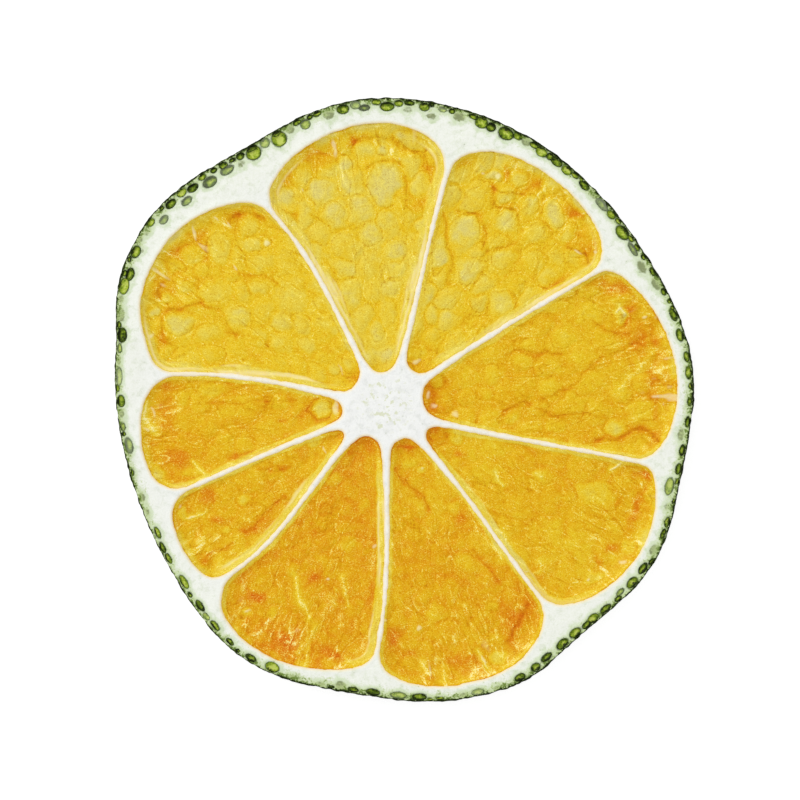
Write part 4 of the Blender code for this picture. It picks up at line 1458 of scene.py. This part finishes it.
# %% Everything on one face of a sheet


def wander(x, y, seed):
    """How far the noted places are pushed about, in mm."""
    return 0.26 * soft_noise(x, y, 1.6, seed) + 0.13 * soft_noise(x, y, 0.6, seed + 1)


def sheet_face(x, y, angle, name, outline, from_wall, outwards, side_share, seed):
    """(tone, mark, fleck, lift) at each point of one face."""
    warmth, net, clockwise_band, other_band = SEGMENTS[name]
    push_x = wander(x, y, seed + 1)
    push_y = wander(x, y, seed + 3)
    net_tone, net_mark, net_lift = sac_net(x + push_x, y + push_y, outline, name, net, seed)
    stain, mark, lift, fleck = noted_features(x + push_x, y + push_y, name)
    end_tone, end_mark, end_lift, end_fleck = crumpled_end(x, y, angle, push_x, from_wall, outwards, seed)
    wall_tone, wall_mark = wall_and_tip(x, y, from_wall, outwards, seed)
    crease = crinkles(x + 0.5 * push_x, y + 0.5 * push_y, angle, seed + 60) * (1.2 - 0.5 * net)
    drift = 0.08 * soft_noise(x, y, 5.0, seed + 10) + 0.06 * rough_noise(x, y, 1.2, seed + 11)
    band = clockwise_band * (1 - side_share) + other_band * side_share
    in_band, band_tone, band_mark, band_fleck = clear_band(x, y, band, from_wall, outwards, seed)
    tone = (warmth + drift + net_tone + end_tone + wall_tone) * (1 - 0.8 * in_band) + band_tone
    tone += stain * (1 - 0.25 * in_band)
    # The crinkles become light lines on small ridges, partly painted highlight.
    mark += net_mark + end_mark + wall_mark - (0.3 + 0.5 * ease(outwards, 0.6, 0.95)) * crease
    lift += net_lift + end_lift + 0.04 * crease - 0.10
    fleck = np.maximum.reduce([0.7 * fleck, end_fleck, band_fleck])
    flat_at_wall = 1 - np.exp(-from_wall / 0.3)
    return tone, mark * (1 - 0.7 * in_band) + band_mark, fleck, lift * (1 - 0.7 * in_band) * flat_at_wall


# %% Make one segment's pulp
PULP_SPACING = 0.1
PULP_LEVEL = 2.35
PULP_UNDER = 0.5
PULP_OVERLAP = 0.08
CLING_REACH = 0.7
CLING_BELOW = 0.15
RAY_STRETCH = 3.0  # how much longer the finest wrinkles are along the rays than across them
NARROWEST = 5.0  # mm from the core: nearer to it, wrinkles don't get any narrower


def make_pulp(name, seed):
    """One segment's sheet of sacs, filling its cell from membrane to membrane."""
    line = cell_lines[name]
    outline = line + outward(line) * PULP_OVERLAP
    flat, triangles, rings = flat_blank(outline, [], PULP_SPACING, seed)
    x, y = flat.T
    middle = line.mean(0)
    axis = middle / np.linalg.norm(middle)
    along = x * axis[0] + y * axis[1]
    across = y * axis[0] - x * axis[1]
    outwards = (along - (line @ axis).min()) / np.ptp(line @ axis)
    side_share = ease(across / (0.15 * along + 0.5), -1.0, 1.0)
    from_wall = distances(flat, [line])
    from_wall[~inside(flat, line[::4])] = 0.0
    angle = np.arctan2(across, along)
    faces = []
    for face_seed in (seed, seed + 100):
        faces.append(sheet_face(x, y, angle, name, outline, from_wall, outwards, side_share, face_seed))
    cling = np.exp(-from_wall / CLING_REACH)
    top = PULP_LEVEL + faces[0][3] + (tissue_height(x, y) - CLING_BELOW - PULP_LEVEL) * cling
    bottom = PULP_UNDER - faces[1][3] - (PULP_UNDER - CLING_BELOW) * cling
    piece = closed_plate(name + "_sacs", flat, triangles, rings, top, bottom, 2)
    walls = len(piece.data.vertices) - 2 * len(flat)
    for k, (attribute, on_wall) in enumerate((("tone", SEGMENTS[name][0]), ("mark", 0.0), ("fleck", 0.0))):
        put_attribute(piece, attribute, np.concatenate([faces[0][k], faces[1][k], np.full(walls, on_wall)]))
    x, y, z = places_of(piece).T
    turned = np.arctan2(y * axis[0] - x * axis[1], x * axis[0] + y * axis[1])
    reach = np.hypot(x, y)
    rays = [reach / RAY_STRETCH, turned * np.maximum(reach, NARROWEST), z]
    put_attribute(piece, "rays", np.column_stack(rays) * MM)
    return piece


# %% [markdown]
# ## The finish of the pulp
#
# Dried pulp is clear and slightly glossy, and its colour runs from a pale greyish yellow in the middle of a
# sac, through golden yellow, to deep orange in a stain. One number on the mesh, the tone, says where on that
# scale a point is, and a colour ramp turns it into the colour. A second number, the mark, is for thin lines:
# above zero a dark amber one, and below zero a light yellow one that turns cream where it is strongest. The
# light lines are partly paler tissue and partly painted highlights, and the cream is painted highlight. The
# shared grain is added to both, and the mark also gets a fine net of wrinkles that is too small for the
# mesh.

# %% Finish for the pulp
dried_pulp, tree, shader = new_material("dried_pulp")
grain, blotch = dried_grain(tree, 0.11, 0.8)
along_rays = add(tree, "ShaderNodeAttribute", attribute_name="rays").outputs["Vector"]
wrinkle = 0.0
for size, patch, strength, half_width in ((0.95, 2.4, 0.42, 0.05), (0.42, 1.3, 0.22, 0.07)):
    wrinkle_grain, where = dried_grain(tree, size, patch, 0.4, along_rays)
    sides = []
    for offset in (0.04, -0.04):
        away = combined(tree, "ABSOLUTE", shifted(tree, wrinkle_grain, 1.0, offset - 0.5), 0.0)
        sides.append(ranged(tree, away, 0.0, half_width, 1.0, 0.0))
    lines = combined(tree, "SUBTRACT", *sides)
    shown = ranged(tree, where, 0.42, 0.60, 0.1 * strength, strength)
    wrinkle = combined(tree, "ADD", combined(tree, "MULTIPLY", lines, shown), wrinkle)
tone = combined(tree, "ADD", value_of(tree, "tone"), shifted(tree, blotch, 0.4, -0.2))
base = ramp(tree, tone, (
    (0.0, (224, 208, 114)), (0.2, (231, 207, 76)), (0.4, (233, 196, 32)), (0.6, (228, 173, 12)),
    (0.8, (224, 142, 6)), (1.0, (221, 116, 6))))
mark = combined(tree, "ADD", value_of(tree, "mark"), shifted(tree, grain, 4.2, -2.1))
mark = combined(tree, "ADD", mark, wrinkle)
base = blended(tree, ranged(tree, mark, 0.0, 1.3, 0.0, 0.9), base, (0.68, 0.47, 0.12, 1.0), "MULTIPLY")
# Painted highlights: the light yellow of a mark below zero is partly paler tissue and partly painted
# highlight, its cream end is painted highlight, and the flecks' cream is partly loose white skin and partly
# painted highlight.
base = layered(tree, base, (
    (ranged(tree, mark, 0.0, -1.3, 0.0, 0.95), (255, 236, 98)),
    (ranged(tree, mark, -0.7, -1.6, 0.0, 0.7), (255, 247, 196)),
    (combined(tree, "MULTIPLY", value_of(tree, "fleck"), shifted(tree, grain, 3.0, -0.3)), (255, 246, 196)),
))
give_surface(tree, shader, base, 0.4, 0.07, wrinkle, 0.4, 0.05)

# %% Make all nine
pulp = {}
for number, name in enumerate(pulp_nodes):
    pulp[name] = make_pulp(name, 200 + 1000 * (number + 1))
    pulp[name].data.materials.append(dried_pulp)

# %% [markdown]
# ## Hang everything on the frame
#
# Each piece rides on the frame's one body, and the CAD node that it stands for is hidden.

# %% Ride and replace
for piece in (tissue, skin, gland_piece):
    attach(piece, "root")
    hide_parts("rind_and_pith")
for name, piece in pulp.items():
    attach(piece, "root")
    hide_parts(name)
